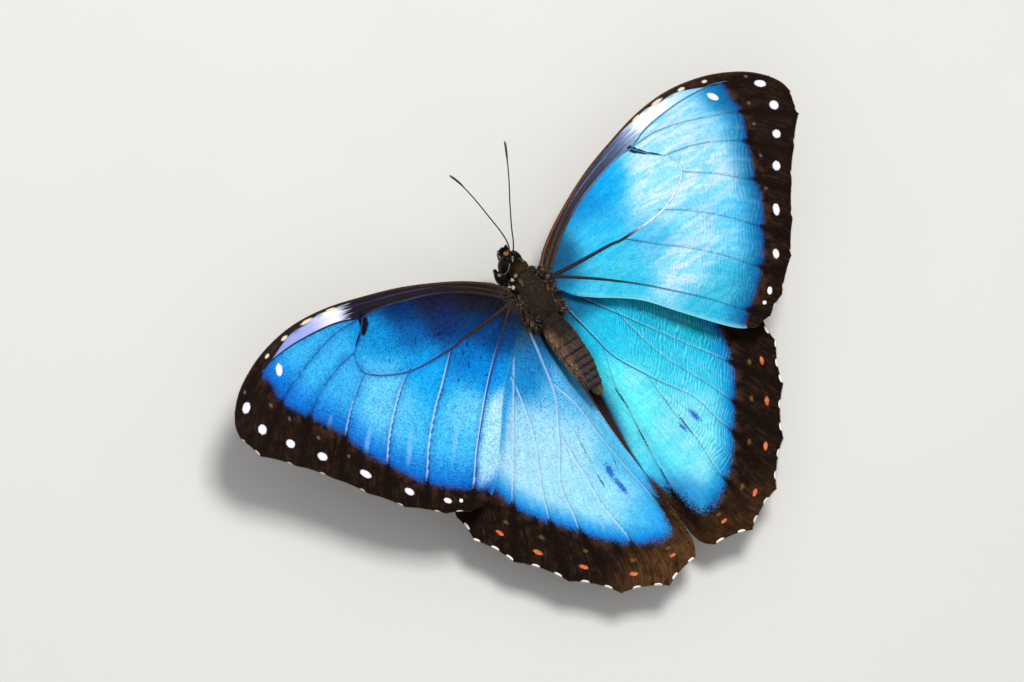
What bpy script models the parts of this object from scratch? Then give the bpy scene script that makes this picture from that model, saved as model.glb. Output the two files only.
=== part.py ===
"""Blue morpho butterfly, standing with its wings spread, at life size.

Sizes are in millimetres in the butterfly's own body frame: X to its left, Y towards
its tail, Z out of its back, with the origin in the middle of the thorax. The empty
"pose" tips the head up and lifts the body to its standing height, and MM turns the
sizes into metres. The part's origin is the middle of its bounding box, on the floor.
Blender 4.5: blender --background --python part.py
"""

import math

import bmesh
import bpy
from mathutils import Matrix, Vector

MM = 0.001

# Stance
STAND_HEIGHT = 12.5  # the body frame's origin above the floor
BODY_SHIFT = -17.2  # centres the bounding box on Y = 0
HEAD_UP = math.radians(5.0)
LEFT_AND_RIGHT = (("left", 1.0), ("right", -1.0))

# Wings seen from above, (across, along) on the left side
WING_THICKNESS = 0.5
FORE_COSTA = [
    (3.6, -3.9), (6.8, -7.1), (12.9, -10.9), (22.4, -15.2), (31.5, -18.0), (38.3, -19.6),
    (44.6, -20.2), (50.0, -19.8), (56.0, -18.3), (61.7, -15.6), (65.3, -12.7),
    (67.5, -9.6), (68.1, -6.6),
]
FORE_TEETH = [
    (68.1, -6.6), (66.9, -2.2), (61.9, 3.0), (57.2, 8.6), (52.9, 14.8), (48.3, 20.6),
    (42.0, 26.0), (37.5, 28.2), (34.4, 28.6),
]
FORE_INNER = [
    (4.05, 0.3), (6.3, 3.6), (9.8, 6.5), (16.9, 11.6), (22.3, 17.8), (27.7, 24.0),
    (31.0, 27.1), (34.4, 28.6),
]
HIND_COSTA = [
    (4.3, 0.9), (8.0, -0.4), (14.0, 1.8), (22.0, 6.4), (30.0, 13.2), (35.6, 20.2),
    (38.4, 27.6),
]
HIND_TEETH = [
    (38.4, 27.6), (38.1, 33.1), (34.0, 40.8), (27.2, 49.6), (19.7, 57.1), (10.5, 61.1),
    (2.6, 59.4),
]
HIND_INNER = [
    (3.7, 5.0), (3.1, 7.0), (2.0, 9.8), (1.2, 13.0), (0.6, 17.0), (0.3, 21.5),
    (0.2, 27.0), (0.2, 40.0), (0.25, 53.0), (0.8, 57.0), (2.6, 59.4),
]
FORE_SCALLOP = 0.25  # how far the margin curves in between two veins
HIND_SCALLOP = 0.8
SCALLOP_SHARE = 0.06  # the most, for a short bay
FORE_GRID = (13, 24)  # cells from root to margin, and across
HIND_GRID = (12, 24)

# Height of the wing surfaces
FORE_LEVEL = 1.26
FORE_RISE_ACROSS = 0.059
FORE_RISE_ALONG = 0.0556
ROOT_DROP = 0.7  # the forewing's hinge lies lower than its blade
ROOT_REACH = (4.0, 14.0)
HIND_LEVEL = -0.7
HIND_TAIL_RISE = 2.6
HIND_TAIL_REACH = (28.0, 62.0)
FOLD_DEPTH = 3.6  # the inner margins fold down under the abdomen
FOLD_EDGE = 0.4
FOLD_WIDTH = 5.0
FOLD_START = (2.0, 8.5)
FOLD_EASES = (26.0, 52.0)  # towards the tail it is shallower and narrower
FOLD_DEPTH_KEPT = 0.5
FOLD_WIDTH_KEPT = 0.7

# Body: where it starts and ends along Y, then stations of
# (along 0-1, half width, height above the axis, depth below it, height of the axis)
THORAX_SPAN = (-5.5, 5.0)
THORAX = [
    (0.0, 3.1, 2.5, 3.4, 0.0), (0.35, 3.6, 3.2, 4.3, -0.2),
    (0.7, 3.6, 3.1, 4.2, -0.3), (1.0, 3.5, 2.9, 3.3, -0.3),
]
ABDOMEN_SPAN = (5.3, 22.9)
ABDOMEN = [
    (0.0, 3.6, 3.0, 2.9, -0.1), (0.3, 3.45, 3.0, 2.9, 0.3), (0.6, 3.05, 2.85, 2.8, 0.7),
    (0.85, 2.2, 2.1, 2.1, 0.95), (1.0, 1.5, 1.3, 1.5, 1.0),
]
ABDOMEN_SEGMENTS = 8
SEGMENT_DEPTH = 0.14
COLLAR_SPAN = (-6.75, -5.75)
COLLAR = [(0.0, 1.9, 1.7, 2.1, 0.0), (1.0, 2.6, 2.2, 2.9, 0.0)]
HEAD_SPAN = (-10.35, -7.05)
HEAD = [(0.0, 1.4, 1.8, 1.8, 0.1), (0.5, 2.0, 2.1, 2.1, -0.1), (1.0, 1.8, 1.8, 1.9, 0.0)]
EYE_CENTRE = (1.5, -8.53, -0.5)
EYE_RADII = (0.95, 1.36, 2.15)
EYE_NOD = math.radians(27.0)  # the eye's top tips forward
EYE_LEAN = math.radians(20.0)  # and towards the other eye
SOCKET_GAP = 0.25  # round an eye
GAP = 0.3  # between two parts that touch

# Mouthparts and feelers
PALP = [(0.62, -10.75, -1.9), (0.66, -11.1, -0.6), (0.46, -11.45, 1.05)]
PALP_RADII = (0.34, 0.44, 0.2)
COIL_CENTRE = (0.0, -9.9, -3.85)
COIL_OUTER = 1.3
COIL_INNER = 0.4
COIL_TURNS = 1.5
COIL_POINTS = 22
COIL_WIRE = 0.25
ANTENNA = [
    (0.45, -9.5, 2.6), (0.6, -11.0, 4.6), (1.17, -13.5, 6.56), (2.6, -17.5, 9.07),
    (4.16, -21.5, 11.7), (5.7, -25.5, 13.6), (6.77, -27.9, 14.0),
]
ANTENNA_RADII = (0.25, 0.25, 0.33)

# Plates over the hinges of the forewings
TEGULA_CENTRE = (3.25, -3.5, 1.95)
TEGULA_RADII = (0.75, 1.25, 0.45)

# Legs: hips in the body frame, all else by its place over the floor
LEGS = {
    "midleg": {
        "hip": (2.2, -1.0, -4.45),
        "knee": (8.4, -20.2, 9.4),
        "ankle": (10.9, -21.4, 1.15),
        "toe": (13.4, -24.0),
    },
    "hindleg": {
        "hip": (2.2, 2.6, -4.0),
        "knee": (6.8, -6.9, 8.0),
        "ankle": (8.5, 2.0, 1.15),
        "toe": (9.9, 9.2),
    },
}
FEMUR_RADII = (0.5, 0.36)
TIBIA_RADII = (0.36, 0.27)
FOOT_RADIUS = 0.27
FOOT_FLAT = 0.08  # cut off under each foot, for it to rest on
FORELEG = [
    (1.7, -4.9, -3.9), (2.9, -5.7, -3.4), (3.25, -6.9, -3.2), (2.8, -8.2, -3.3),
    (2.3, -8.5, -4.2), (2.0, -7.0, -4.9),
]
FORELEG_RADII = (0.46, 0.42, 0.28)

COLOURS = {
    "wing_blue": ((0.02, 0.22, 0.75), 0.35, 0.6),
    "body_brown": ((0.06, 0.045, 0.035), 0.9, 0.0),
    "eye_black": ((0.012, 0.01, 0.01), 0.15, 0.0),
    "leg_brown": ((0.08, 0.05, 0.03), 0.7, 0.0),
    "feeler_black": ((0.02, 0.015, 0.012), 0.5, 0.0),
}


def clear_scene():
    for thing in list(bpy.data.objects):
        bpy.data.objects.remove(thing, do_unlink=True)


def make_collection(name):
    group = bpy.data.collections.new(name)
    bpy.context.scene.collection.children.link(group)
    return group


def make_material(node_name, kind):
    """Each part has its own material, in one of the colours."""
    colour, roughness, metallic = COLOURS[kind]
    made = bpy.data.materials.new(node_name)
    made.use_nodes = True
    shader = made.node_tree.nodes["Principled BSDF"]
    shader.inputs["Base Color"].default_value = (*colour, 1.0)
    shader.inputs["Roughness"].default_value = roughness
    shader.inputs["Metallic"].default_value = metallic
    made.diffuse_color = (*colour, 1.0)
    return made


def make_pose():
    """The empty that carries the body: it tips the head up and lifts it off the floor."""
    pose = bpy.data.objects.new("pose", None)
    pose.rotation_euler = (-HEAD_UP, 0.0, 0.0)
    pose.location = (0.0, BODY_SHIFT * MM, STAND_HEIGHT * MM)
    PARTS.objects.link(pose)
    bpy.context.view_layer.update()
    return pose


def add_node(name, shape, kind, carrier, smooth=True):
    """One named part from a mesh in millimetres, parented to the empty or standing free."""
    shape.transform(Matrix.Scale(MM, 4))
    node = bpy.data.objects.new(name, shape)
    node.parent = carrier
    shape.materials.append(make_material(name, kind))
    if smooth:
        shape.shade_smooth()
    PARTS.objects.link(node)
    return node


def finished_mesh(builder, name):
    """The bmesh with its faces turned outward, as a mesh."""
    bmesh.ops.recalc_face_normals(builder, faces=builder.faces)
    shape = bpy.data.meshes.new(name)
    builder.to_mesh(shape)
    builder.free()
    return shape


def mirrored(points, side):
    return [(point[0] * side, *point[1:]) for point in points]


def ease(value, start, end):
    share = min(1.0, max(0.0, (value - start) / (end - start)))
    return share * share * (3.0 - 2.0 * share)


def through(points, at):
    """A smooth curve through the points, read from 0 to 1 by the length along them."""
    spots = [Vector(point).to_3d() for point in points]
    lengths = [(b - a).length for a, b in zip(spots, spots[1:])]
    left = at * sum(lengths)
    piece = 0
    while piece < len(lengths) - 1 and left > lengths[piece]:
        left -= lengths[piece]
        piece += 1
    u = min(1.0, left / lengths[piece])
    start, end = spots[piece], spots[piece + 1]
    leaving = (end - spots[max(piece - 1, 0)]) * 0.5
    arriving = (spots[min(piece + 2, len(spots) - 1)] - start) * 0.5
    swing = end * (3 * u**2 - 2 * u**3) + start * (2 * u**3 - 3 * u**2 + 1)
    return swing + leaving * (u**3 - 2 * u**2 + u) + arriving * (u**3 - u**2)


def scalloped(teeth, depth, at):
    """The outer margin: a tooth at each vein's end, and a shallow bay between two."""
    reach = at * (len(teeth) - 1)
    bay = min(int(reach), len(teeth) - 2)
    u = reach - bay
    start, end = Vector(teeth[bay]).to_3d(), Vector(teeth[bay + 1]).to_3d()
    chord = end - start
    inward = Vector((-chord.y, chord.x, 0.0)).normalized()
    sag = min(depth, SCALLOP_SHARE * chord.length) * 4.0 * u * (1.0 - u)
    return start.lerp(end, u) + inward * sag


def wing_plan(costa, teeth, inner, scallop, s, t):
    """Coons patch in the wing's outline: s runs from root to margin, t from front to rear."""
    front, rear = through(costa, s), through(inner, s)
    root, outer = through([costa[0], inner[0]], t), scalloped(teeth, scallop, t)
    near = Vector(costa[0]).to_3d().lerp(Vector(inner[0]).to_3d(), t)
    far = Vector(teeth[0]).to_3d().lerp(Vector(teeth[-1]).to_3d(), t)
    return front.lerp(rear, t) + root.lerp(outer, s) - near.lerp(far, s)


def fore_height(x, y):
    blade = FORE_LEVEL + FORE_RISE_ACROSS * x + FORE_RISE_ALONG * y
    return blade - ROOT_DROP * (1.0 - ease(x, *ROOT_REACH))


def hind_height(x, y):
    blade = HIND_LEVEL + HIND_TAIL_RISE * ease(y, *HIND_TAIL_REACH)
    easing = ease(y, *FOLD_EASES)
    depth = FOLD_DEPTH * ease(y, *FOLD_START) * (1.0 - (1.0 - FOLD_DEPTH_KEPT) * easing)
    width = FOLD_WIDTH * (1.0 - (1.0 - FOLD_WIDTH_KEPT) * easing)
    return blade - depth * (1.0 - ease(x, FOLD_EDGE, FOLD_EDGE + width))


def add_wing(name, side, costa, teeth, inner, scallop, grid, height):
    """A curved blade of even thickness."""
    cells, rows = grid
    builder = bmesh.new()
    lattice = []
    for i in range(cells + 1):
        spots = [wing_plan(costa, teeth, inner, scallop, i / cells, j / rows) for j in range(rows + 1)]
        lattice.append([builder.verts.new((p.x * side, p.y, height(p.x, p.y))) for p in spots])
    for near, far in zip(lattice, lattice[1:]):
        for j in range(rows):
            corners = (near[j], far[j], far[j + 1], near[j + 1])
            builder.faces.new(corners if side > 0 else corners[::-1])
    shape = bpy.data.meshes.new(name)
    builder.to_mesh(shape)
    builder.free()
    node = add_node(name, shape, "wing_blue", POSE, smooth=False)
    shell = node.modifiers.new("thickness", "SOLIDIFY")
    shell.thickness = WING_THICKNESS * MM
    shell.offset = 0.0


def stations_at(stations, at):
    """The section between two stations, blended without a corner."""
    for first, second in zip(stations, stations[1:]):
        if at <= second[0]:
            share = ease(at, first[0], second[0])
            return [a + (b - a) * share for a, b in zip(first[1:], second[1:])]
    return list(stations[-1][1:])


def add_body(name, kind, span, stations, rings, sides, bluntness=0.5, segments=0):
    """A rounded form along the body, from oval sections that close at both ends."""
    start, end = span
    builder = bmesh.new()
    loops = []
    for i in range(1, rings):
        angle = math.pi * i / rings
        at = 0.5 - 0.5 * math.cos(angle)
        half, above, below, axis = stations_at(stations, at)
        scale = math.sin(angle) ** bluntness
        if segments:
            scale -= SEGMENT_DEPTH / half * (0.5 + 0.5 * math.cos(2.0 * math.pi * segments * at))
        loop = []
        for k in range(sides):
            across = math.cos(2.0 * math.pi * k / sides) * scale
            upward = math.sin(2.0 * math.pi * k / sides) * scale
            rise = above if upward > 0 else below
            place = (half * across, start + (end - start) * at, axis + rise * upward)
            loop.append(builder.verts.new(place))
        loops.append(loop)
    for near, far in zip(loops, loops[1:]):
        for k in range(sides):
            after = (k + 1) % sides
            builder.faces.new((near[k], near[after], far[after], far[k]))
    for loop, y, station in ((loops[0], start, stations[0]), (loops[-1], end, stations[-1])):
        pole = builder.verts.new((0.0, y, station[4]))
        for k in range(sides):
            builder.faces.new((loop[k], loop[(k + 1) % sides], pole))
    return add_node(name, finished_mesh(builder, name), kind, POSE)


def ellipsoid(name, centre, radii, segments=14, rings=9, turn=None):
    builder = bmesh.new()
    bmesh.ops.create_uvsphere(builder, u_segments=segments, v_segments=rings, radius=1.0)
    place = Matrix.Translation(centre) @ (turn or Matrix.Identity(4)) @ Matrix.Diagonal((*radii, 1.0))
    bmesh.ops.transform(builder, matrix=place, verts=builder.verts)
    return finished_mesh(builder, name)


def tube(name, points, radii, steps, sides_level=1):
    """A round tube through the points, its radius eased from the first to the last."""
    curve = bpy.data.curves.new(name, "CURVE")
    curve.dimensions = "3D"
    curve.bevel_depth = 1.0
    curve.bevel_resolution = sides_level
    curve.use_fill_caps = True
    spline = curve.splines.new("POLY")
    spline.points.add(steps)
    for i, knot in enumerate(spline.points):
        at = i / steps
        knot.co = (*through(points, at), 1.0)
        knot.radius = through([(r, 10.0 * k) for k, r in enumerate(radii)], at).x
    holder = bpy.data.objects.new(name, curve)
    bpy.context.scene.collection.objects.link(holder)
    bpy.context.view_layer.update()
    shape = bpy.data.meshes.new_from_object(holder.evaluated_get(bpy.context.evaluated_depsgraph_get()))
    shape.name = name
    bpy.data.objects.remove(holder, do_unlink=True)
    builder = bmesh.new()
    builder.from_mesh(shape)
    bmesh.ops.remove_doubles(builder, verts=builder.verts, dist=0.0001)
    builder.to_mesh(shape)
    builder.free()
    return shape


def cut(node, cutter_shape, carrier):
    """Takes a hidden cutter away from a node."""
    cutter_shape.transform(Matrix.Scale(MM, 4))
    cutter = bpy.data.objects.new(cutter_shape.name, cutter_shape)
    cutter.parent = carrier
    cutter.hide_render = True
    cutter.display_type = "WIRE"
    CUTTERS.objects.link(cutter)
    difference = node.modifiers.new(cutter.name, "BOOLEAN")
    difference.operation = "DIFFERENCE"
    difference.solver = "EXACT"
    difference.object = cutter


def make_body():
    add_body("thorax", "body_brown", THORAX_SPAN, THORAX, 14, 20, bluntness=0.38)
    add_body("abdomen", "body_brown", ABDOMEN_SPAN, ABDOMEN, 30, 18, 0.3, ABDOMEN_SEGMENTS)
    add_body("collar", "body_brown", COLLAR_SPAN, COLLAR, 6, 16, bluntness=0.4)


def make_head():
    head = add_body("head", "body_brown", HEAD_SPAN, HEAD, 10, 18, bluntness=0.55)
    socket_radii = [radius + SOCKET_GAP for radius in EYE_RADII]
    for label, side in LEFT_AND_RIGHT:
        centre = mirrored([EYE_CENTRE], side)[0]
        turn = Matrix.Rotation(EYE_NOD, 4, "X") @ Matrix.Rotation(-side * EYE_LEAN, 4, "Y")
        eye = ellipsoid("eye", centre, EYE_RADII, 18, 12, turn)
        add_node(f"eye_{label}", eye, "eye_black", POSE)
        cut(head, ellipsoid(f"socket_{label}", centre, socket_radii, 18, 12, turn), POSE)


def make_mouthparts():
    for label, side in LEFT_AND_RIGHT:
        palp = tube("palp", mirrored(PALP, side), PALP_RADII, 6)
        add_node(f"palp_{label}", palp, "body_brown", POSE)
    coil = []
    for i in range(COIL_POINTS):
        at = i / (COIL_POINTS - 1)
        angle = math.radians(60.0) - 2.0 * math.pi * COIL_TURNS * at
        radius = COIL_OUTER + (COIL_INNER - COIL_OUTER) * at
        _, y, z = COIL_CENTRE
        coil.append((0.0, y + radius * math.cos(angle), z + radius * math.sin(angle)))
    proboscis = tube("proboscis", coil, (COIL_WIRE, COIL_WIRE), COIL_POINTS + 4)
    add_node("proboscis", proboscis, "feeler_black", POSE)


def make_antennae():
    for label, side in LEFT_AND_RIGHT:
        antenna = tube("antenna", mirrored(ANTENNA, side), ANTENNA_RADII, 20)
        add_node(f"antenna_{label}", antenna, "feeler_black", POSE)


def make_wings():
    for label, side in LEFT_AND_RIGHT:
        add_wing(
            f"forewing_{label}", side, FORE_COSTA, FORE_TEETH, FORE_INNER, FORE_SCALLOP,
            FORE_GRID, fore_height,
        )
        add_wing(
            f"hindwing_{label}", side, HIND_COSTA, HIND_TEETH, HIND_INNER, HIND_SCALLOP,
            HIND_GRID, hind_height,
        )
        centre = mirrored([TEGULA_CENTRE], side)[0]
        add_node(f"tegula_{label}", ellipsoid("tegula", centre, TEGULA_RADII, 10, 7), "body_brown", POSE)


def leg_segment(name, start, end, radii):
    """A straight length of leg that stops half a gap short of the joint at each end."""
    start, end = Vector(start), Vector(end)
    trim = (end - start).normalized() * (GAP * 0.5)
    shape = tube(name, [start + trim, start.lerp(end, 0.5), end - trim], radii, 3)
    add_node(name, shape, "leg_brown", None)


def foot(name, ankle, toe):
    """The tarsus comes down from the ankle and lies along the floor, flat underneath."""
    axis_height = FOOT_RADIUS - FOOT_FLAT
    start = Vector(ankle)
    end = Vector((*toe, axis_height))
    down = start.lerp(end, 0.3)
    down.z = axis_height
    start += (down - start).normalized() * (GAP + FOOT_RADIUS)
    settled = down.lerp(end, 0.3)
    node = add_node(
        name, tube(name, [start, down, settled, end], (FOOT_RADIUS, FOOT_RADIUS), 9), "leg_brown", None
    )
    builder = bmesh.new()
    bmesh.ops.create_cube(builder, size=1.0)
    middle = (start + end) * 0.5
    block = Matrix.Translation((middle.x, middle.y, -1.0)) @ Matrix.Diagonal((16.0, 16.0, 2.0, 1.0))
    bmesh.ops.transform(builder, matrix=block, verts=builder.verts)
    cut(node, finished_mesh(builder, f"floor_under_{name}"), None)


def make_legs():
    for leg, place in LEGS.items():
        for label, side in LEFT_AND_RIGHT:
            hip = POSE.matrix_world @ (Vector(mirrored([place["hip"]], side)[0]) * MM) / MM
            knee, ankle, toe = mirrored([place["knee"], place["ankle"], place["toe"]], side)
            leg_segment(f"{leg}_{label}_femur", hip, knee, FEMUR_RADII)
            leg_segment(f"{leg}_{label}_tibia", knee, ankle, TIBIA_RADII)
            foot(f"{leg}_{label}_tarsus", ankle, toe)
    for label, side in LEFT_AND_RIGHT:
        foreleg = tube("foreleg", mirrored(FORELEG, side), FORELEG_RADII, 12)
        add_node(f"foreleg_{label}", foreleg, "leg_brown", POSE)


clear_scene()
PARTS = make_collection("blue_morpho")
CUTTERS = make_collection("cutters")
POSE = make_pose()
make_body()
make_head()
make_mouthparts()
make_antennae()
make_wings()
make_legs()
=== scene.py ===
"""A blue morpho butterfly standing with its wings spread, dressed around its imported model.

Sizes are in millimetres in the butterfly's own frame, the one that the part's source uses:
X to its left, Y towards its tail, Z out of its back. posed() brings points from there into
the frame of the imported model, in metres. Colours are display values from 0 to 255, and
linear() turns them into what the shaders take.
"""

import math

import bpy
import numpy as np
from mathutils import Matrix, Vector


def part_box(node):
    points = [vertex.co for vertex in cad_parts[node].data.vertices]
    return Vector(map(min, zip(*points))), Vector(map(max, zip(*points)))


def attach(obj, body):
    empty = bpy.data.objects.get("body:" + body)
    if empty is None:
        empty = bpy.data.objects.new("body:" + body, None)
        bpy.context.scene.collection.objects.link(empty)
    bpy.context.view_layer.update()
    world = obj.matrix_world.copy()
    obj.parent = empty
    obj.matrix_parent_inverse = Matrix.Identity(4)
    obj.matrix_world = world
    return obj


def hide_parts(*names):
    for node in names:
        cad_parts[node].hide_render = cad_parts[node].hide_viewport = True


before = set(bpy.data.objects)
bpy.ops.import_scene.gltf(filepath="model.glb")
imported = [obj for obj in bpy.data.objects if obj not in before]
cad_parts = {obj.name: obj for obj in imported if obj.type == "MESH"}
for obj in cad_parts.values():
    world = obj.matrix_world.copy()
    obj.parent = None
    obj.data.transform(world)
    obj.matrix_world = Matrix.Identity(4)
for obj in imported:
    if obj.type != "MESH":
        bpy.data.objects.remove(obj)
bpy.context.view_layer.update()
BODY = "root"
MM = 0.001

# Stance, as in the part
STAND_HEIGHT = 12.5
BODY_SHIFT = -17.2
HEAD_UP = math.radians(5.0)
SIDES = (("left", 1.0), ("right", -1.0))

# Wings seen from above, (across, along) on the left side, as in the part. Only the hindwing's
# inner margin starts further in, under the body, so that no gap shows beside the abdomen.
FORE_COSTA = [
    (3.6, -3.9), (6.8, -7.1), (12.9, -10.9), (22.4, -15.2), (31.5, -18.0), (38.3, -19.6),
    (44.6, -20.2), (50.0, -19.8), (56.0, -18.3), (61.7, -15.6), (65.3, -12.7),
    (67.5, -9.6), (68.1, -6.6),
]
FORE_TEETH = [
    (68.1, -6.6), (66.9, -2.2), (61.9, 3.0), (57.2, 8.6), (52.9, 14.8), (48.3, 20.6),
    (42.0, 26.0), (37.5, 28.2), (34.4, 28.6),
]
FORE_INNER = [
    (4.05, 0.3), (6.3, 3.6), (9.8, 6.5), (16.9, 11.6), (22.3, 17.8), (27.7, 24.0),
    (31.0, 27.1), (34.4, 28.6),
]
HIND_COSTA = [
    (4.3, 0.9), (8.0, -0.4), (14.0, 1.8), (22.0, 6.4), (30.0, 13.2), (35.6, 20.2),
    (38.4, 27.6),
]
HIND_TEETH = [
    (38.4, 27.6), (38.1, 33.1), (34.0, 40.8), (27.2, 49.6), (19.7, 57.1), (10.5, 61.1),
    (2.6, 59.4),
]
HIND_INNER = [
    (2.5, 4.8), (1.6, 7.0), (1.2, 9.8), (1.0, 13.0), (0.6, 17.0), (0.25, 21.5), (0.1, 27.0),
    (0.08, 40.0), (0.1, 53.0), (0.7, 57.0), (2.6, 59.4),
]
FORE_SCALLOP = 0.25
HIND_SCALLOP = 0.8
SCALLOP_SHARE = 0.06  # the deepest bay, as a share of its width

FORE_LEVEL = 1.26
FORE_RISE_ACROSS = 0.059
FORE_RISE_ALONG = 0.0556
ROOT_DROP = 0.7
ROOT_REACH = (4.0, 14.0)
HIND_LEVEL = -0.7
HIND_TAIL_RISE = 2.6
HIND_TAIL_REACH = (28.0, 62.0)
FOLD_DEPTH = 3.6
FOLD_EDGE = 0.4
FOLD_WIDTH = 5.0
FOLD_START = (2.0, 8.5)
FOLD_EASES = (26.0, 52.0)
FOLD_DEPTH_KEPT = 0.5
FOLD_WIDTH_KEPT = 0.7

TUBE_POINT = 0.4  # how far a tube's two ends are drawn out, as a share of its radius

# The wing membrane
MEMBRANE = 0.15  # thickness
PLEAT = 0.20  # how far it swells between two veins
PLEAT_REACH = 1.5
FRINGE = 0.42  # depth of the scale fringe round the outer margin
FRINGE_SPACING = (0.085, 0.11)  # between the scales of each row
BLADE_GRID = (205, 225)  # points from root to margin and from front to rear
ROW_SPREAD = 0.35  # how much closer the blade's rows of points lie at the margin than at the root
LAY_REACH = (62.0, 42.0)  # a wing's size from root to margin and from front to rear

# Veins on the left side: points, radius at the start and at the end
FORE_STEM = [
    (4.8, -1.6), (11.2, -1.0), (18.3, -0.6), (21.7, -0.2), (31.9, -0.9), (39.2, -4.9),
    (39.0, -9.1),
]
FORE_CELL_END = [(39.0, -9.1), (36.0, -11.4), (33.3, -14.3)]
FORE_STRIP = [
    (5.8, -3.0), (10.9, -7.1), (17.3, -10.6), (24.4, -13.0), (29.9, -14.3), (33.6, -14.3),
]
FORE_SUBCOSTA = [
    (5.0, -3.7), (10.7, -8.2), (17.0, -11.9), (24.2, -14.6), (30.0, -16.2), (35.5, -17.8),
]
FORE_R = [
    (33.6, -14.4), (38.7, -16.2), (46.6, -17.0), (53.1, -16.7), (57.2, -15.8), (66.4, -11.7),
]
FORE_M1 = [
    (34.8, -14.5), (39.4, -14.6), (45.5, -13.3), (51.5, -11.2), (56.5, -9.0), (66.4, -2.4),
]
FORE_M2 = [(38.9, -9.5), (43.0, -8.8), (48.4, -6.9), (53.6, -3.8), (61.1, 3.8)]
FORE_M3 = [(39.4, -5.1), (44.6, -1.6), (49.2, 2.4), (52.0, 4.9), (56.2, 9.9)]
FORE_CU1 = [(30.9, -1.3), (35.6, 1.7), (41.1, 6.4), (45.3, 11.0), (50.4, 17.6)]
FORE_CU2 = [(21.3, -0.3), (26.8, 4.4), (31.8, 8.4), (36.7, 13.2), (40.6, 17.9), (45.1, 23.0)]
FORE_2A = [
    (5.4, -1.4), (12.4, 3.8), (18.8, 9.0), (23.2, 13.1), (29.0, 18.8), (33.0, 23.4),
    (37.6, 27.9),
]
FORE_VEINS = [
    (FORE_STEM, 0.36, 0.08), (FORE_CELL_END, 0.07, 0.12), (FORE_STRIP, 0.30, 0.13),
    (FORE_SUBCOSTA, 0.26, 0.09), (FORE_R, 0.17, 0.10), (FORE_M1, 0.11, 0.06),
    (FORE_M2, 0.10, 0.06), (FORE_M3, 0.10, 0.06), (FORE_CU1, 0.10, 0.06),
    (FORE_CU2, 0.11, 0.06), (FORE_2A, 0.30, 0.07),
]
HIND_STEM = [
    (4.4, 4.6), (5.8, 11.7), (7.3, 18.0), (10.5, 23.7), (12.5, 27.0), (14.0, 29.0),
    (16.9, 33.5), (18.0, 38.7), (19.3, 45.0), (19.6, 56.8),
]
HIND_INNER_VEIN = [
    (6.4, 16.0), (4.6, 22.2), (4.15, 28.5), (3.1, 37.0), (2.3, 43.5), (1.9, 48.0), (2.6, 58.0),
]
HIND_BRANCH = [(11.1, 24.7), (11.4, 33.7), (12.1, 40.3), (11.6, 48.2), (12.2, 52.4), (10.6, 60.6)]
HIND_FRONT = [(8.2, 4.9), (15.2, 14.6), (20.9, 22.6), (25.6, 29.0), (33.6, 40.4)]
HIND_SECOND = [(13.0, 10.8), (13.8, 15.4), (16.1, 23.2), (21.3, 33.9), (27.0, 49.2)]
HIND_SHOULDER = [(9.0, 3.4), (16.0, 7.2), (24.0, 13.5), (31.0, 21.5), (37.2, 31.0)]
HIND_VEINS = [
    (HIND_STEM, 0.15, 0.06), (HIND_INNER_VEIN, 0.05, 0.04), (HIND_BRANCH, 0.08, 0.06),
    (HIND_FRONT, 0.12, 0.06), (HIND_SECOND, 0.09, 0.06), (HIND_SHOULDER, 0.08, 0.06),
]
VEIN_STEPS = 90
VEIN_SIDES = 8
VEIN_SIZE = 1.25  # times the radii above
VEIN_FLAT = 0.55  # height as a share of width
# What the veins turn to beyond the root
VEIN_TONES = {
    ("forewing", "left"): (44, 52, 118), ("forewing", "right"): (34, 112, 146),
    ("hindwing", "left"): (120, 176, 226), ("hindwing", "right"): (0, 70, 112),
}
# Colours that change along a wing, from the root outwards: (across, colour)
RIB_TONES = {
    "left": [(5.0, (52, 38, 32)), (16.0, (46, 36, 36)), (22.0, (58, 56, 72)), (35.0, (54, 52, 72))],
    "right": [(5.0, (70, 54, 44)), (14.0, (66, 56, 56)), (20.0, (98, 100, 126)), (35.0, (110, 132, 160))],
}
# The right forewing's stem: brown, then white further out, a painted highlight along it
STEM_TONES = [(5.0, (44, 34, 32)), (22.0, (52, 48, 56)), (27.0, (214, 236, 248)), (40.0, (214, 236, 248))]
STRIP_TONES = {
    "left": [(5.0, (34, 24, 18)), (12.0, (32, 25, 24)), (18.0, (31, 28, 36)), (34.0, (30, 26, 42))],
    "right": [
        (5.0, (42, 32, 27)), (12.0, (46, 38, 40)), (18.0, (52, 50, 64)), (26.0, (60, 64, 88)),
        (31.0, (80, 98, 130)), (35.0, (150, 170, 206)),
    ],
}
BAR_TONES = {"left": (8, 12, 26), "right": (16, 40, 66)}
PATCH_TONES = {
    "left": [(39.0, (246, 247, 252)), (43.5, (166, 176, 236)), (55.0, (140, 150, 220))],
    "right": [(44.0, (244, 250, 252)), (50.0, (150, 214, 246)), (55.0, (120, 186, 236))],
}

# Where the blue ends, from the front margin round to the rear one
FORE_BLUE_EDGE = [
    (57.5, -15.6), (57.0, -12.3), (57.3, -8.8), (56.0, -6.2), (54.0, -1.8), (51.8, 3.3),
    (50.2, 7.7), (48.0, 11.5), (46.0, 14.0), (42.7, 18.5), (38.5, 22.2), (35.0, 24.8),
    (32.3, 26.5),
]
FORE_BLUE_REST = [(30.0, 34.0), (-8.0, 12.0), (-8.0, -32.0), (52.0, -30.0), (54.6, -17.4)]
HIND_BLUE_EDGE = [
    (29.5, 24.0), (28.9, 28.0), (27.3, 32.5), (23.9, 37.7), (21.2, 40.9), (18.0, 45.0),
    (14.5, 48.5), (11.1, 51.1), (8.3, 52.4), (5.1, 53.1), (3.2, 52.0), (1.9, 48.0),
    (0.7, 44.5), (0.0, 42.0),
]
HIND_BLUE_REST = [(-8.0, 42.0), (-8.0, -8.0), (30.0, -8.0)]

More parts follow.
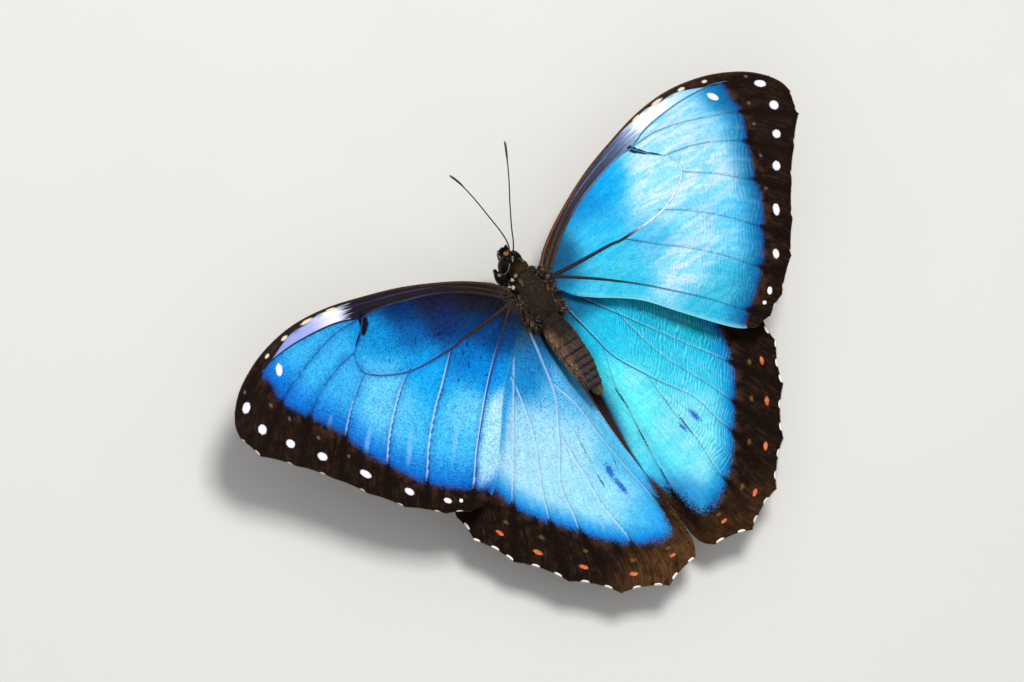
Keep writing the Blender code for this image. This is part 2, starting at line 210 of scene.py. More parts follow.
# Marks: (across, along, half length, half width, direction in degrees)
FORE_SPOTS = [
    (63.6, -11.5, 1.35, 0.8, 38), (63.4, -6.4, 1.1, 0.95, 60), (60.3, -1.3, 1.0, 0.9, 110),
    (56.4, 4.0, 1.1, 0.88, 120), (51.1, 11.2, 1.35, 0.74, 118), (45.7, 18.5, 1.1, 0.72, 118),
    (40.2, 23.9, 0.92, 0.56, 130), (37.9, 25.3, 0.48, 0.44, 0), (53.7, -14.3, 1.4, 0.72, 58),
]
FORE_FAINT = [
    (59.2, -9.4, 0.6, 0.45, 90), (57.6, -5.4, 0.6, 0.4, 60), (54.9, 0.6, 0.55, 0.4, 60),
    (51.9, 6.6, 0.5, 0.35, 60), (62.0, -14.2, 0.6, 0.4, 40),
]
FORE_COSTAL_SPOTS = [
    (49.1, -18.9, 0.95, 0.42, 8), (54.1, -17.75, 0.7, 0.36, 20), (43.3, -19.35, 1.7, 0.42, -2),
    (37.8, -18.85, 1.3, 0.34, -12),
]
# Brown clouds between them
FORE_CLOUDS = [
    (46.3, -19.0, 1.3, 0.6, 5), (40.5, -19.1, 1.1, 0.5, -4), (51.8, -18.4, 1.2, 0.5, 14),
]
# The dark wedge where the cell ends at the front strip
FORE_BARS = {
    "left": [(33.5, -13.7, 1.7, 1.05, 75), (34.4, -12.3, 1.4, 0.6, 50), (36.4, -11.4, 2.2, 0.2, 36)],
    "right": [(33.5, -14.0, 1.3, 0.75, 60), (34.6, -12.8, 1.6, 0.5, 48), (36.6, -11.1, 2.3, 0.24, 42)],
}
FORE_MARGIN_MARKS = [
    (67.8, -8.8), (67.0, -3.2), (62.9, 2.0), (58.6, 7.0), (53.8, 13.6), (49.0, 19.8),
    (43.5, 24.8), (39.6, 27.3),
]
HIND_LUNULES = [
    (38.5, 30.0), (37.5, 33.0), (35.6, 36.5), (33.7, 39.35), (30.9, 43.6), (27.8, 47.1),
    (24.4, 51.4), (21.2, 54.65), (16.6, 58.45), (12.5, 59.8), (8.2, 60.5), (3.7, 59.15),
]
HIND_OCHRE = [
    (32.9, 34.5, 1.0, 0.45, 115), (28.8, 41.6, 1.15, 0.5, 122), (22.9, 48.8, 1.1, 0.48, 133),
    (15.3, 55.2, 1.0, 0.45, 148), (6.5, 56.4, 0.8, 0.35, 175),
]
HIND_OCHRE_FAINT = [
    (30.6, 33.4, 0.8, 0.5, 115), (26.4, 39.6, 0.8, 0.5, 122), (20.6, 46.4, 0.8, 0.5, 135),
    (13.8, 52.9, 0.9, 0.5, 150), (6.3, 54.8, 0.9, 0.4, 175),
]
# Eyespots of the underside: (across, along, radius)
FORE_EYESPOTS = [(47.5, -9.0, 2.6), (45.0, -2.5, 2.2), (40.5, 4.5, 3.3)]
HIND_EYESPOTS = [(24.0, 15.5, 4.3), (21.5, 28.5, 2.6), (18.0, 35.5, 3.4), (11.5, 42.5, 3.2)]

# Bands of the underside beyond the blue's edge, (from, to, colour), and the rings of its
# eyespots from the outermost inwards, (edge as a share of the radius, colour)
UNDERSIDE_BANDS = [
    (1.6, 2.3, (176, 150, 118)), (4.6, 5.1, (206, 190, 160)), (6.6, 7.1, (150, 70, 40)),
    (7.8, 8.3, (190, 168, 134)),
]
EYESPOT_RINGS = [
    (1.22, (58, 40, 30)), (1.08, (202, 158, 66)), (0.80, (24, 16, 14)), (0.42, (110, 44, 34)),
    (0.16, (244, 240, 232)),
]

# Pools of colour in each wing: (across, along, reach, colour). They paint in the scales' sheen, which
# differs from wing to wing as each lies at its own angle to the light, and some painted shade and light
# where the forewing and the fold shade the hindwing.
LEFT_FORE_POOLS = [
    (9.0, -6.0, 4.0, (26, 22, 32)),  # dark root
    (19.0, -10.5, 3.0, (28, 22, 46)),  # violet shade along the front of the cell
    (20.0, -5.5, 2.6, (14, 44, 100)),
    (26.5, -12.0, 2.8, (4, 42, 96)),
    (27.0, -7.0, 2.6, (4, 92, 166)),
    (32.5, -9.5, 3.2, (8, 144, 214)),  # bright end of the cell
    (13.5, 0.5, 2.8, (4, 62, 124)),  # behind the stem
    (20.0, 3.5, 2.8, (0, 112, 194)),
    (19.0, 7.6, 2.8, (0, 148, 230)),
    (29.0, 1.5, 3.8, (16, 166, 242)),
    (37.5, 0.0, 3.8, (104, 202, 255)),  # painted sheen in the middle
    (25.0, 13.0, 3.8, (106, 206, 252)),  # painted sheen near the rear margin
    (34.0, 16.0, 4.2, (66, 186, 250)),
    (45.5, -9.5, 5.0, (56, 176, 242)),  # towards the tip
]
RIGHT_FORE_POOLS = [
    (8.5, -4.5, 3.0, (20, 84, 124)),  # root
    (18.0, -10.0, 3.4, (8, 138, 208)),  # azure along the front of the cell
    (26.0, -11.5, 3.4, (4, 170, 240)),
    (17.0, -3.5, 3.4, (58, 198, 250)),
    (33.0, -7.0, 4.4, (196, 236, 255)),  # painted white sheen
    (44.0, -8.0, 5.4, (186, 230, 252)),
    (50.0, -9.0, 4.0, (132, 210, 248)),  # towards the tip
    (54.0, -13.5, 2.2, (20, 130, 190)),
    (16.0, 4.0, 4.0, (60, 196, 230)),  # behind the stem
    (26.0, 2.5, 2.6, (84, 190, 236)),
    (28.0, 11.0, 3.4, (184, 229, 253)),  # painted sheen near the rear margin
    (37.0, 6.0, 4.2, (158, 220, 250)),
    (43.0, 8.0, 3.2, (100, 202, 248)),
    (34.5, 18.5, 3.0, (64, 184, 218)),
    (27.0, 19.5, 3.0, (52, 184, 220)),
]
LEFT_HIND_POOLS = [
    (6.5, 4.5, 3.0, (34, 66, 98)),  # root
    (8.5, 9.5, 2.6, (30, 124, 192)),
    (14.0, 5.5, 3.4, (20, 178, 252)),  # front, by the forewing: painted lighter, against the shade the forewing casts there
    (12.0, 12.5, 2.6, (6, 128, 200)),
    (4.5, 19.0, 3.4, (92, 184, 238)),  # fold: painted lighter, against the shade of its slope
    (19.0, 14.5, 3.8, (160, 220, 250)),
    (16.0, 28.0, 6.0, (168, 224, 251)),  # painted pale sheen in the middle
    (25.0, 23.0, 3.5, (176, 228, 252)),
    (3.5, 35.0, 3.6, (88, 192, 236)),
    (13.0, 41.0, 4.5, (150, 222, 250)),
    (7.0, 47.5, 3.0, (72, 186, 238)),
]
RIGHT_HIND_POOLS = [
    (6.0, 4.5, 2.6, (24, 100, 138)),  # root
    (12.5, 4.6, 3.4, (0, 104, 150)),  # front, by the forewing: painted shadow of the forewing
    (13.5, 10.5, 2.4, (14, 204, 244)),
    (8.0, 13.0, 3.2, (44, 200, 236)),
    (18.0, 14.5, 3.6, (24, 178, 214)),
    (8.5, 23.0, 2.0, (134, 236, 246)),
    (13.0, 20.0, 3.6, (52, 204, 234)),
    (4.0, 21.0, 2.8, (88, 240, 252)),  # fold: painted lighter, against the shade of its slope
    (5.0, 29.0, 3.2, (102, 244, 252)),
    (3.5, 39.0, 3.0, (104, 232, 250)),
    (11.0, 35.0, 4.6, (122, 224, 242)),  # painted pale sheen in the middle
    (20.5, 27.0, 3.8, (52, 200, 234)),
    # painted shade under the forewing's rear margin
    (26.0, 23.0, 2.6, (0, 166, 186)),
    (13.0, 43.0, 3.6, (130, 230, 246)),
    (3.0, 48.0, 2.4, (84, 165, 216)),
]
# Fields that a wing may lack, and what they hold there
MARK_FIELDS = (
    "faint", "strip", "leading", "patch", "patch_start", "bar", "clouds", "spots", "cream",
    "ochre", "ochre_faint", "lunules",
)
NO_MARK = -3.0
SHARE_FIELDS = ("rippled", "folded", "fold", "rear_light", "tanned")
# What the blue deepens to beside the border, and how wide that rim is
RIMS = {
    ("forewing", "left"): ((2, 104, 204), 8.5), ("forewing", "right"): ((4, 98, 152), 6.6),
    ("hindwing", "left"): ((4, 130, 222), 5.5), ("hindwing", "right"): ((2, 130, 200), 5.6),
}
# Where the blue scales are rubbed off: (across, along, half length, half width, degrees)
RUBBED = {
    ("hindwing", "left"): [(7.0, 36.2, 2.7, 0.95, 82), (6.85, 39.8, 3.0, 0.8, 94)],
    ("hindwing", "right"): [(14.5, 36.1, 2.3, 0.85, 78), (11.0, 36.8, 1.6, 0.55, 80)],
}
# Dark streaks across the blue, in the same form
DARK_STREAKS = {
    ("forewing", "left"): [
        (22.0, -3.9, 1.1, 0.28, 0), (24.8, -8.6, 2.1, 0.16, 68), (27.0, -5.1, 2.2, 0.15, 48),
        (20.1, 1.6, 1.0, 0.24, 70), (20.6, 4.4, 0.9, 0.22, 70), (18.3, 0.8, 0.7, 0.3, 40),
        (18.6, 7.7, 0.7, 0.26, 160), (30.6, -3.6, 0.8, 0.16, 62), (25.4, -9.7, 1.3, 0.16, 150),
        (17.5, 4.4, 0.5, 0.2, 20), (21.4, -1.4, 0.5, 0.2, 60), (27.8, -8.7, 0.6, 0.16, 30),
        (33.6, -4.8, 0.7, 0.14, 60), (18.9, -4.2, 0.5, 0.18, 80), (15.5, 2.5, 0.6, 0.2, 40),
        (24.1, 5.6, 0.7, 0.16, 70),
    ],
    ("forewing", "right"): [(23.4, -8.2, 0.6, 0.14, 60), (27.0, -6.0, 0.5, 0.12, 40)],
    ("hindwing", "left"): [
        (9.6, 36.9, 2.4, 0.22, 85), (8.7, 29.4, 5.8, 0.12, 83), (5.0, 35.5, 2.6, 0.13, 78),
        (6.0, 14.2, 0.6, 0.14, 70), (9.2, 12.0, 0.5, 0.14, 30),
    ],
    ("hindwing", "right"): [
        (11.8, 36.6, 3.9, 0.24, 88), (17.2, 13.0, 0.8, 0.12, 40), (4.1, 25.4, 3.6, 0.18, 90),
        (3.4, 34.0, 4.0, 0.16, 96), (2.4, 43.0, 3.6, 0.16, 96),
    ],
}

# Body: where it starts and ends along Y, then stations of
# (along 0-1, half width, height above the axis, depth below it, height of the axis)
COAT = 0.34  # the skin lies this far inside the solids
THORAX_SPAN = (-5.9, 5.6)
THORAX = [
    (0.0, 2.7, 2.3, 3.1, 0.0), (0.35, 3.6, 3.2, 4.3, -0.2), (0.7, 3.6, 3.1, 4.2, -0.3),
    (1.0, 3.4, 2.8, 3.2, -0.3),
]
ABDOMEN_SPAN = (4.6, 22.9)
ABDOMEN = [
    (0.0, 3.2, 2.9, 2.9, -0.1), (0.3, 3.25, 3.0, 2.9, 0.3), (0.6, 3.0, 2.85, 2.8, 0.7),
    (0.85, 2.2, 2.1, 2.1, 0.95), (1.0, 1.5, 1.3, 1.5, 1.0),
]
RINGS = (9.0, 11.05, 13.15, 15.0, 16.5, 17.95, 19.45, 20.9)  # where the abdomen's plates meet
PLATE_ARCS = (4.3, 5.1, 6.35)  # behind the thorax
RING_DEPTH = 0.16
# Soft lobes over each wing's hinge: centre, radii
HINGES = [((3.4, -1.5, 0.75), (1.0, 2.6, 0.5)), ((3.3, 3.0, -0.6), (0.9, 2.4, 0.6))]
# Collar lobes above the shoulder and beside the neck
LOBES = [((2.3, -4.7, 0.4), (0.9, 0.95, 0.65)), ((2.2, -6.8, -2.1), (1.1, 1.5, 1.1))]
FACE = ((0.0, -10.25, -0.35), (0.95, 0.85, 1.45))
NECK_SPAN = (-8.2, -4.8)
NECK = [(0.0, 1.5, 1.5, 1.8, 0.0), (0.5, 2.2, 2.0, 2.5, 0.0), (1.0, 2.6, 2.3, 3.0, 0.0)]
HEAD_SPAN = (-10.35, -7.05)
HEAD = [(0.0, 1.4, 1.8, 1.8, 0.1), (0.5, 2.0, 2.1, 2.1, -0.1), (1.0, 1.8, 1.8, 1.9, 0.0)]
EYE_CENTRE = (1.5, -8.53, -0.5)
EYE_RADII = (0.95, 1.36, 2.15)
EYE_NOD = math.radians(27.0)  # its top tips forwards
EYE_LEAN = math.radians(20.0)  # and towards the other eye
SKIN_VOXEL = 0.13

PALP = [(0.6, -10.7, -1.8), (0.64, -11.0, -0.6), (0.42, -11.35, 0.95)]
COIL_CENTRE = (0.0, -9.9, -3.85)
COIL_OUTER = 1.33
COIL_INNER = 0.35
COIL_TURNS = 1.75
ANTENNA = [
    (0.45, -9.5, 2.0), (0.6, -11.0, 4.6), (1.17, -13.5, 6.56), (2.6, -17.5, 9.07),
    (4.16, -21.5, 11.7), (5.7, -25.5, 13.6), (6.77, -27.9, 14.0),
]
TEGULA_CENTRE = (3.25, -3.5, 1.95)
TEGULA_RADII = (0.75, 1.25, 0.45)
TEGULA_TONES = {"left": (22.0, 18.0, 17.0), "right": (50.0, 41.0, 30.0)}
TEGULA_SPOT = (3.6, -3.95, 2.3)
TEGULA_SPOT_TONES = {"left": (244.0, 226.0, 196.0), "right": (120.0, 104.0, 84.0)}
LEGS = {
    "midleg": {
        "hip": (2.2, -1.0, -4.45), "knee": (8.4, -20.2, 9.4), "ankle": (10.9, -21.4, 1.15),
        "toe": (13.4, -24.0),
    },
    "hindleg": {
        "hip": (2.2, 2.6, -4.0), "knee": (6.8, -6.9, 8.0), "ankle": (8.5, 2.0, 1.15),
        "toe": (9.9, 9.2),
    },
}
LEG_TONE = (44.0, 33.0, 26.0)
LEG_SIDES = 16
FORELEG = [
    (1.7, -4.9, -3.9), (2.9, -5.7, -3.4), (3.25, -6.9, -3.2), (2.8, -8.2, -3.3), (2.3, -8.5, -4.2),
    (2.0, -7.0, -4.9),
]

# Tufts: three rings, each (place along it, thickness), of three points, each (height, across)
TUFT_RINGS = ((0.0, 0.8), (0.38, 1.0), (0.72, 0.62))
TUFT_SECTION = ((1.0, 0.0), (-0.5, 0.87), (-0.5, -0.87))
TUFT_SUNK = 0.05  # how far a root lies under the surface
TUFT_PATCH = 0.003  # a tuft's size on the UV map

# Lights: (direction in the butterfly's frame, distance and size in metres, power, colour)
KEY_LIGHT = ((-0.15, -0.36, 1.0), 0.75, 0.22, 4.15, (1.0, 0.985, 0.96))
FILL_LIGHT = ((0.9, 0.4, 0.8), 1.0, 0.8, 1.3, (0.92, 0.96, 1.0))
SKY_COLOUR = (0.93, 0.96, 1.0, 1.0)
SKY_STRENGTH = 0.42
FLOOR_HALF = 4.0  # in metres

# The camera in the butterfly's frame
CAMERA_PLACE = (381.62, 33.49, 916.48)
CAMERA_LOOK = (-0.37640473, -0.02901021, -0.92600102)
CAMERA_RIGHT = (-0.77993156, 0.54937741, 0.29981865)
CAMERA_LENS = 180.0
CAMERA_SENSOR = 36.0


# Shapes of the wings


def ease(value, start, end):
    share = np.clip((value - start) / (end - start), 0.0, 1.0)
    return share * share * (3.0 - 2.0 * share)


def through(points, at):
    """A smooth curve through the points, read from 0 to 1 by the length along them."""
    spots = np.asarray(points, float)
    at = np.atleast_1d(np.asarray(at, float))
    lengths = np.linalg.norm(np.diff(spots, axis=0), axis=1)
    ends = np.cumsum(lengths)
    left = at * ends[-1]
    piece = np.clip(np.searchsorted(ends, left, side="left"), 0, len(lengths) - 1)
    u = np.clip((left - ends[piece] + lengths[piece]) / lengths[piece], 0.0, 1.0)[:, None]
    start, end = spots[piece], spots[piece + 1]
    leaving = (end - spots[np.maximum(piece - 1, 0)]) * 0.5
    arriving = (spots[np.minimum(piece + 2, len(spots) - 1)] - start) * 0.5
    swing = end * (3 * u**2 - 2 * u**3) + start * (2 * u**3 - 3 * u**2 + 1)
    return swing + leaving * (u**3 - 2 * u**2 + u) + arriving * (u**3 - u**2)


def scalloped(teeth, depth, at):
    """The outer margin: a tooth at each vein's end, and a shallow bay between two."""
    teeth = np.asarray(teeth, float)
    reach = np.atleast_1d(np.asarray(at, float)) * (len(teeth) - 1)
    bay = np.minimum(reach.astype(int), len(teeth) - 2)
    u = (reach - bay)[:, None]
    start, end = teeth[bay], teeth[bay + 1]
    chord = end - start
    length = np.linalg.norm(chord, axis=1, keepdims=True)
    inward = np.column_stack([-chord[:, 1], chord[:, 0]]) / length
    sag = np.minimum(depth, SCALLOP_SHARE * length) * 4.0 * u * (1.0 - u)
    return start + (end - start) * u + inward * sag


def wing_plan(wing, s, t):
    """Coons patch in the wing's outline: s runs from root to margin, t from front to rear."""
    costa, teeth, inner = wing["costa"], wing["teeth"], wing["inner"]
    s, t = np.broadcast_arrays(np.asarray(s, float), np.asarray(t, float))
    shape = s.shape
    s, t = s.ravel(), t.ravel()
    front, rear = through(costa, s), through(inner, s)
    root, outer = through([costa[0], inner[0]], t), scalloped(teeth, wing["scallop"], t)
    s, t = s[:, None], t[:, None]
    first, second = np.asarray(costa[0]), np.asarray(inner[0])
    near = first + (second - first) * t
    first, second = np.asarray(teeth[0]), np.asarray(teeth[-1])
    far = first + (second - first) * t
    plan = front + (rear - front) * t + root + (outer - root) * s - near - (far - near) * s
    return plan.reshape(*shape, 2)


def fore_height(x, y):
    blade = FORE_LEVEL + FORE_RISE_ACROSS * x + FORE_RISE_ALONG * y
    return blade - ROOT_DROP * (1.0 - ease(x, *ROOT_REACH))


def hind_height(x, y):
    blade = HIND_LEVEL + HIND_TAIL_RISE * ease(y, *HIND_TAIL_REACH)
    easing = ease(y, *FOLD_EASES)
    depth = FOLD_DEPTH * ease(y, *FOLD_START) * (1.0 - (1.0 - FOLD_DEPTH_KEPT) * easing)
    width = FOLD_WIDTH * (1.0 - (1.0 - FOLD_WIDTH_KEPT) * easing)
    return blade - depth * (1.0 - ease(x, FOLD_EDGE, FOLD_EDGE + width))


FORE = {
    "name": "forewing", "costa": FORE_COSTA, "teeth": FORE_TEETH, "inner": FORE_INNER,
    "scallop": FORE_SCALLOP, "height": fore_height, "veins": FORE_VEINS, "reach": 62.0,
    "blue_edge": FORE_BLUE_EDGE, "blue_rest": FORE_BLUE_REST, "eyespots": FORE_EYESPOTS,
}
HIND = {
    "name": "hindwing", "costa": HIND_COSTA, "teeth": HIND_TEETH, "inner": HIND_INNER,
    "scallop": HIND_SCALLOP, "height": hind_height, "veins": HIND_VEINS, "reach": 50.0,
    "blue_edge": HIND_BLUE_EDGE, "blue_rest": HIND_BLUE_REST, "eyespots": HIND_EYESPOTS,
}
POOLS = {
    ("forewing", "left"): LEFT_FORE_POOLS, ("forewing", "right"): RIGHT_FORE_POOLS,
    ("hindwing", "left"): LEFT_HIND_POOLS, ("hindwing", "right"): RIGHT_HIND_POOLS,
}


# Frames, colours and meshes


def turned(vectors):
    """Directions in the butterfly's frame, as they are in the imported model's."""
    x, y, z = np.asarray(vectors, float).reshape(-1, 3).T
    cos, sin = math.cos(HEAD_UP), math.sin(HEAD_UP)
    return np.column_stack([x, y * cos + z * sin, z * cos - y * sin])


def posed(points):
    """Points in the butterfly's frame in millimetres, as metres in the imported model's."""
    return (turned(points) + (0.0, BODY_SHIFT, STAND_HEIGHT)) * MM


def unposed(points):
    """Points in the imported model's frame in millimetres, in the butterfly's."""
    x, y, z = (np.asarray(points, float).reshape(-1, 3) - (0.0, BODY_SHIFT, STAND_HEIGHT)).T
    cos, sin = math.cos(HEAD_UP), math.sin(HEAD_UP)
    return np.column_stack([x, y * cos - z * sin, z * cos + y * sin])


def linear(colour):
    share = np.clip(np.asarray(colour, float) / 255.0, 0.0, 1.0)
    return np.where(share <= 0.04045, share / 12.92, ((share + 0.055) / 1.055) ** 2.4)


def shade(colour):
    return (*linear(colour), 1.0)


def unit(vectors):
    lengths = np.linalg.norm(vectors, axis=-1, keepdims=True)
    return vectors / np.maximum(lengths, 1e-9)


def make_piece(name, points, faces, materials, replaced=(), fields=None, colours=None,
               material_of=None, uv=None):
    """A mesh from points in the butterfly's frame, riding on the body."""
    shape = bpy.data.meshes.new(name)
    shape.from_pydata(posed(points).tolist(), [], faces)
    for field, values in (fields or {}).items():
        layer = shape.attributes.new(field, "FLOAT", "POINT")
        layer.data.foreach_set("value", np.asarray(values, np.float32))
    for field, values in (colours or {}).items():
        layer = shape.attributes.new(field, "FLOAT_COLOR", "POINT")
        full = np.column_stack([values, np.ones(len(values))])
        layer.data.foreach_set("color", full.astype(np.float32).ravel())
    for material in materials:
        shape.materials.append(material)
    if material_of is not None:
        shape.polygons.foreach_set("material_index", np.asarray(material_of, np.int32))
    if uv is not None:
        layer = shape.uv_layers.new(name="OFBake")
        corner = np.empty(len(shape.loops), np.int32)
        shape.loops.foreach_get("vertex_index", corner)
        layer.data.foreach_set("uv", np.asarray(uv, np.float32)[corner].ravel())
    shape.shade_smooth()
    shape.update()
    piece = bpy.data.objects.new(name, shape)
    bpy.context.scene.collection.objects.link(piece)
    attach(piece, BODY)
    if replaced:
        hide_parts(*replaced)


def joined(parts):
    """Several meshes as one. Each is its points, its faces and any values of its points."""
    faces, start = [], 0
    for points, some_faces, *_ in parts:
        faces += [[corner + start for corner in face] for face in some_faces]
        start += len(points)
    points, _, *values = zip(*parts)
    return np.concatenate(points), faces, *(np.concatenate(rows) for rows in values)


def on_side(mesh, side):
    """A mesh made for the left side: as it is, or mirrored for the right side."""
    if side > 0:
        return mesh
    points, faces, *values = mesh
    return points * (-1.0, 1.0, 1.0), [face[::-1] for face in faces], *values


def place_on_side(place, side):
    """A place given for the left side, on the side asked for."""
    return (place[0] * side, *place[1:])


def ring_faces(rings, sides):
    """The faces between rings of points, and those that close them to a first and a last point."""
    faces = []
    for i in range(rings - 1):
        for k in range(sides):
            near, far, after = i * sides, (i + 1) * sides, (k + 1) % sides
            faces.append([near + k, far + k, far + after, near + after])
    first, last = rings * sides, rings * sides + 1
    for k in range(sides):
        after = (k + 1) % sides
        faces.append([k, after, first])
        faces.append([first - sides + after, first - sides + k, last])
    return faces


def tube(path, radii, sides, flat=1.0):
    """A closed round tube along a path, with a radius at each of its points."""
    path = np.asarray(path, float)
    radii = np.broadcast_to(np.asarray(radii, float), (len(path),))
    ahead = unit(np.gradient(path, axis=0))
    up = np.array((0.0, 0.0, 1.0))
    if abs(ahead[0] @ up) > 0.9:
        up = np.array((0.0, 1.0, 0.0))
    angles = 2.0 * math.pi * np.arange(sides) / sides
    rings = []
    for place, direction, radius in zip(path, ahead, radii):
        aside = unit(np.cross(direction, up))
        up = unit(np.cross(aside, direction))
        ring = np.outer(np.cos(angles), aside) + np.outer(np.sin(angles), up) * flat
        rings.append(place + ring * radius)
    start = path[:1] - ahead[:1] * radii[0] * TUBE_POINT
    end = path[-1:] + ahead[-1:] * radii[-1] * TUBE_POINT
    return np.concatenate(rings + [start, end]), ring_faces(len(path), sides)


def along_tube(values, sides):
    """Values given along a path, for every point of the tube along it."""
    return np.concatenate([np.repeat(values, sides, axis=0), values[:1], values[-1:]])


# Distances and marks in the plan of a wing


def pieces(path, x, y):
    """For each straight piece of a line: how far each point lies from it, at what share of its
    length, and on which side."""
    for (ax, ay), (bx, by) in zip(path, path[1:]):
        dx, dy = bx - ax, by - ay
        share = np.clip(((x - ax) * dx + (y - ay) * dy) / (dx * dx + dy * dy + 1e-12), 0.0, 1.0)
        away = np.hypot(x - ax - dx * share, y - ay - dy * share)
        yield away, share, dx * (y - ay) - dy * (x - ax)


def nearest_side(path, x, y):
    """The distance of each point from a line, and whether it lies to its front (1) or rear (-1)."""
    best = np.full(x.shape, 1e9)
    front = np.zeros(x.shape)
    for away, _, turn in pieces(path, x, y):
        front = np.where(away < best, np.where(turn < 0.0, 1.0, -1.0), front)
        best = np.minimum(best, away)
    return best, front


def distance_to(path, x, y):
    """The distance of each point from a line of straight pieces."""
    return nearest_side(path, x, y)[0]


def toned(stops, x):
    """A colour that changes along x from one stop to the next."""
    places, tones = zip(*stops)
    return np.column_stack([np.interp(x, places, channel) for channel in zip(*tones)])


def ridge(paths, width, x, y):
    """1 on a line, fading to its sides and towards its ends."""
    best = np.zeros(x.shape)
    for path in paths:
        steps = len(path) - 1
        for number, (away, share, _) in enumerate(pieces(path, x, y)):
            crest = np.sin(np.pi * (number + share) / steps)
            best = np.maximum(best, np.exp(-((away / width) ** 2)) * crest)
    return best


def inside(outline, x, y):
    found = np.zeros(x.shape, bool)
    for (ax, ay), (bx, by) in zip(outline, outline[1:] + outline[:1]):
        crosses = (ay > y) != (by > y)
        at = ax + (y - ay) * (bx - ax) / (by - ay + 1e-12)
        found ^= crosses & (x < at)
    return found


def mark_field(marks, x, y):
    """How far inside the nearest oval mark each point is: 1 in its middle, 0 on its edge."""
    best = np.full(x.shape, -3.0)
    for across, along, length, width, degrees in marks:
        cos, sin = math.cos(math.radians(degrees)), math.sin(math.radians(degrees))
        u = ((x - across) * cos + (y - along) * sin) / length
        v = ((y - along) * cos - (x - across) * sin) / width
        best = np.maximum(best, 1.0 - np.hypot(u, v))
    return best


def margin_marks(wing, places, length, width, inset):
    """Oval marks that lie along the outer margin, nearest to the places."""
    line = scalloped(wing["teeth"], wing["scallop"], np.linspace(0.0, 1.0, 600))
    along = unit(np.gradient(line, axis=0))
    made = []
    for place in places:
        nearest = int(np.argmin(np.hypot(*(line - place).T)))
        dx, dy = along[nearest]
        middle = line[nearest] + np.array((-dy, dx)) * inset
        made.append((*middle, length, width, math.degrees(math.atan2(dy, dx))))
    return made


def pooled(pools, x, y):
    """The colour that the pools blend to at each point."""
    total = np.zeros(x.shape)
    mixed = np.zeros((*x.shape, 3))
    for across, along, reach, colour in pools:
        weight = (1.0 + ((x - across) ** 2 + (y - along) ** 2) / (3.0 * reach * reach)) ** -3.5
        mixed += weight[..., None] * np.asarray(colour, float)
        total += weight
    return mixed / total[..., None]


def between(paths, start=0.45, end=0.93, steps=24):
    """The faint folds that run midway between neighbouring veins, in their outer half."""
    at = np.linspace(start, end, steps)
    return [(through(a, at) + through(b, at)) / 2.0 for a, b in zip(paths, paths[1:])]


# Materials


class Paint:
    """A material's nodes, with short calls for the ones that it uses."""

    def __init__(self, name):
        self.material = bpy.data.materials.new(name)
        self.material.use_nodes = True
        self.tree = self.material.node_tree
        self.shader = self.tree.nodes["Principled BSDF"]

    def add(self, kind, feeds=(), **settings):
        node = self.tree.nodes.new(kind)
        for key, value in settings.items():
            setattr(node, key, value)
        for socket, value in feeds:
            self.feed(node.inputs[socket], value)
        return node

    def feed(self, socket, value):
        if isinstance(value, bpy.types.NodeSocket):
            self.tree.links.new(value, socket)
        else:
            socket.default_value = value

    def field(self, name):
        return self.add("ShaderNodeAttribute", attribute_name=name).outputs["Fac"]

    def tint(self, name):
        return self.add("ShaderNodeAttribute", attribute_name=name).outputs["Color"]

    def scaled(self, colour, factor):
        """The colour or the vector times a factor."""
        feeds = [(0, colour), (3, factor)]
        return self.add("ShaderNodeVectorMath", feeds, operation="SCALE").outputs[0]

    def place(self):
        """Where a point is, in millimetres."""
        return self.scaled(self.add("ShaderNodeTexCoord").outputs["Object"], 1.0 / MM)

    def math(self, operation, first, second):
        return self.add("ShaderNodeMath", [(0, first), (1, second)], operation=operation).outputs[0]

    def total(self, first, *others):
        """Values added up."""
        for other in others:
            first = self.math("ADD", first, other)
        return first

    def product(self, first, *others):
        """Values multiplied."""
        for other in others:
            first = self.math("MULTIPLY", first, other)
        return first

    def swing(self, value, reach, middle=0.5):
        """How far the value lies from its middle, times the reach."""
        return self.product(self.math("SUBTRACT", value, middle), reach)

    def span(self, value, low, high, to_low=0.0, to_high=1.0):
        """The value's place between low and high, eased, as a share of the way to to_high."""
        feeds = [(0, value), (1, low), (2, high), (3, to_low), (4, to_high)]
        return self.add("ShaderNodeMapRange", feeds, interpolation_type="SMOOTHSTEP").outputs[0]

    def mix(self, share, first, second):
        feeds = [(0, share), (6, first), (7, second)]
        return self.add("ShaderNodeMix", feeds, data_type="RGBA").outputs[2]

    def times(self, first, second):
        """Two vectors or colours, multiplied part by part."""
        feeds = [(0, first), (1, second)]
        return self.add("ShaderNodeVectorMath", feeds, operation="MULTIPLY").outputs[0]

    def noise(self, vector, scale, detail=2.0, rough=0.5, warp=0.0):
        feeds = [("Vector", vector), ("Scale", scale), ("Detail", detail), ("Roughness", rough)]
        feeds.append(("Distortion", warp))
        return self.add("ShaderNodeTexNoise", feeds).outputs["Fac"]

    def waves(self, vector, scale, warp, detail, spread):
        feeds = [("Vector", vector), ("Scale", scale), ("Distortion", warp), ("Detail", detail)]
        feeds.append(("Detail Scale", spread))
        return self.add("ShaderNodeTexWave", feeds).outputs["Fac"]

    def cells(self, vector, scale, output):
        feeds = [("Vector", vector), ("Scale", scale)]
        return self.add("ShaderNodeTexVoronoi", feeds).outputs[output]

    def scales(self, vector, scale):
        """A grey of its own for each small cell."""
        return self.add("ShaderNodeRGBToBW", [(0, self.cells(vector, scale, "Color"))]).outputs[0]

    def bump(self, height, distance, strength):
        feeds = [("Height", height), ("Distance", distance * MM), ("Strength", strength)]
        return self.add("ShaderNodeBump", feeds).outputs["Normal"]

    def finish(self, colour, roughness, normal, specular, coat=0.0):
        feeds = {
            "Base Color": colour, "Roughness": roughness, "Normal": normal,
            "Specular IOR Level": specular, "Coat Weight": coat,
        }
        for socket, value in feeds.items():
            self.feed(self.shader.inputs[socket], value)
        return self.material


